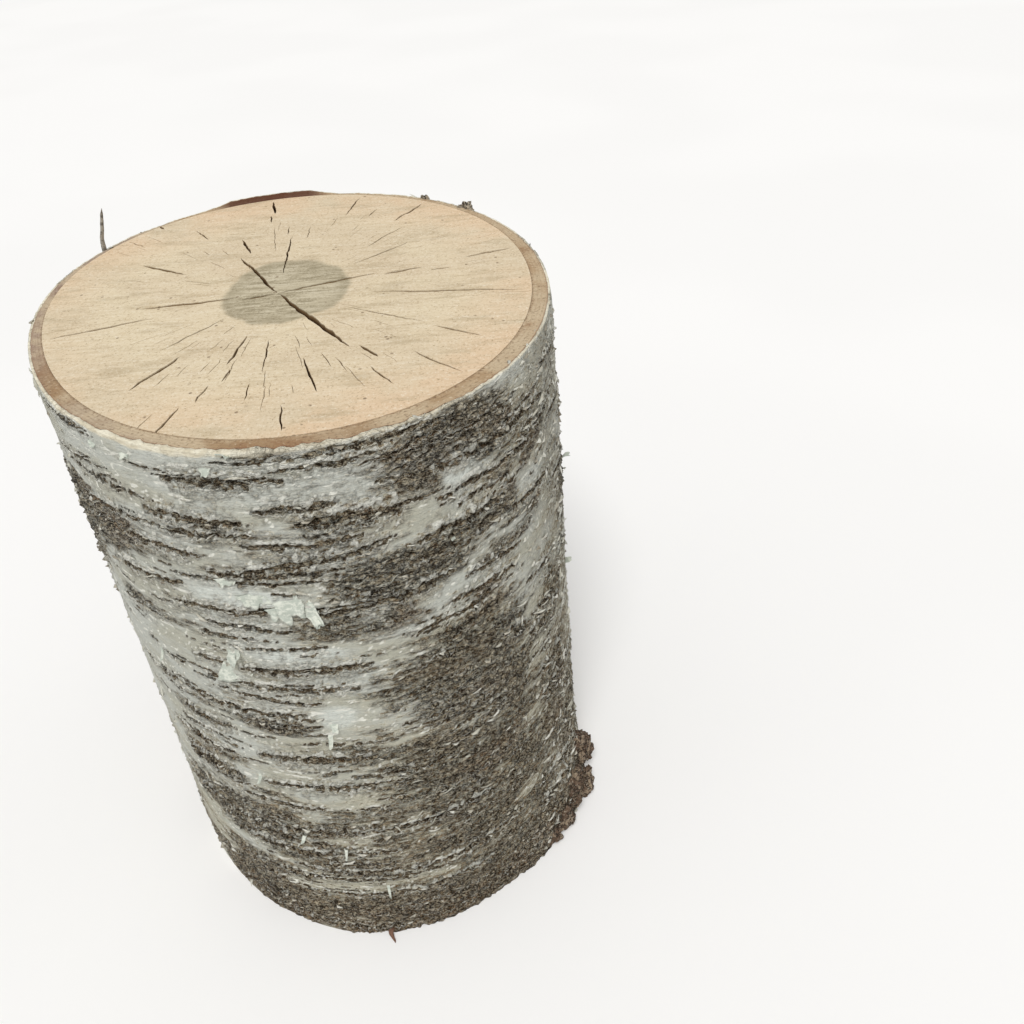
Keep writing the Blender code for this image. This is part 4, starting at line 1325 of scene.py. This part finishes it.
def set_stage():
    """A pale floor, soft studio light and a camera where the photograph was taken from."""
    bm = bmesh.new()
    bmesh.ops.create_circle(bm, segments=96, radius=FLOOR_RADIUS, cap_ends=True)
    floor = in_scene("floor", mesh_of(bm, "floor"))
    floor.data.materials.append(pale_floor())

    world = bpy.data.worlds.new("studio")
    bpy.context.scene.world = world
    world.use_nodes = True
    background = world.node_tree.nodes["Background"].inputs
    background[0].default_value = (1, 1, 1, 1)
    background[1].default_value = SKY_STRENGTH

    sun = bpy.data.lights.new("wide soft light", "SUN")
    sun.energy = SUN_STRENGTH
    sun.angle = SUN_WIDTH
    in_scene("wide soft light", sun).rotation_euler = (-SUN_FROM).to_track_quat("-Z", "Y").to_euler()

    forward = Vector((0, math.cos(CAMERA_PITCH), -math.sin(CAMERA_PITCH)))
    level_right = Vector((1, 0, 0))
    level_up = level_right.cross(forward)
    right = level_right * math.cos(CAMERA_ROLL) + level_up * math.sin(CAMERA_ROLL)
    up = level_up * math.cos(CAMERA_ROLL) - level_right * math.sin(CAMERA_ROLL)
    data = bpy.data.cameras.new("camera")
    data.sensor_width = SENSOR_WIDTH
    data.lens = FOCAL_SHARE * SENSOR_WIDTH
    camera = in_scene("camera", data)
    x, y, z = CAMERA_PLACE
    camera.matrix_world = matrix_of(right, up, -forward, Vector((x + AXIS[0], y + AXIS[1], z)))
    bpy.context.scene.camera = camera
    bpy.context.scene.view_settings.view_transform = "Standard"


def matrix_of(x, y, z, place):
    """A matrix from three axes and a place."""
    turned = Matrix((x, y, z)).transposed().to_4x4()
    turned.translation = place
    return turned


def main():
    set_stage()
    sectors = build_bark(papery_bark())
    inner = build_inner_bark(sawn_inner_bark())
    wood = build_wood(sawn_birch())
    sheets = build_torn_sheets(torn_paper("shed paper bark", "#B7BDB1", "#B7BDB1", "#DEE0D3"))
    burrs = build_burrs(corky_burr())
    strip = build_strip(torn_paper("weathered bark strip", "#A19C92", "#A19C92", "#4F483F"))
    splinter = build_splinter(torn_paper("red-brown splinter", "#7A5A48", "#7A5A48", "#4E3A2E"))
    rng = random.Random(77)
    scales = scatter("loose_scales", sectors,
                     curl_shapes("scale", (2.4 * MM, 5.5 * MM), (0.8 * MM, 1.9 * MM), (0.3, 1.2), rng),
                     torn_paper("loose bark scales", "#C4BFB0", "#7A7264", "#A09886"),
                     {"rough": 0.8, "band": 0.6, "shaggy": 1.2}, SCALES_PER_M2, (0.4, 1.1), 40)
    curls = scatter("paper_curls", sectors,
                    curl_shapes("curl", (3.5 * MM, 11 * MM), (0.9 * MM, 2.4 * MM), (0.7, 2.4), rng),
                    torn_paper("curled paper bark", "#E0DFD5", "#C4C2B4", "#B3AE9E"),
                    {"lip": 1.0, "band": 0.4, "frayed": 0.3, "rough": 0.14, "shaggy": 1.3},
                    CURLS_PER_M2, (0.35, 1.0), 60)
    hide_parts("wood")
    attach(wood, "root")
    for piece in (*sectors, inner, sheets, burrs, strip, splinter, scales, curls):
        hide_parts("bark")
        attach(piece, "root")


main()
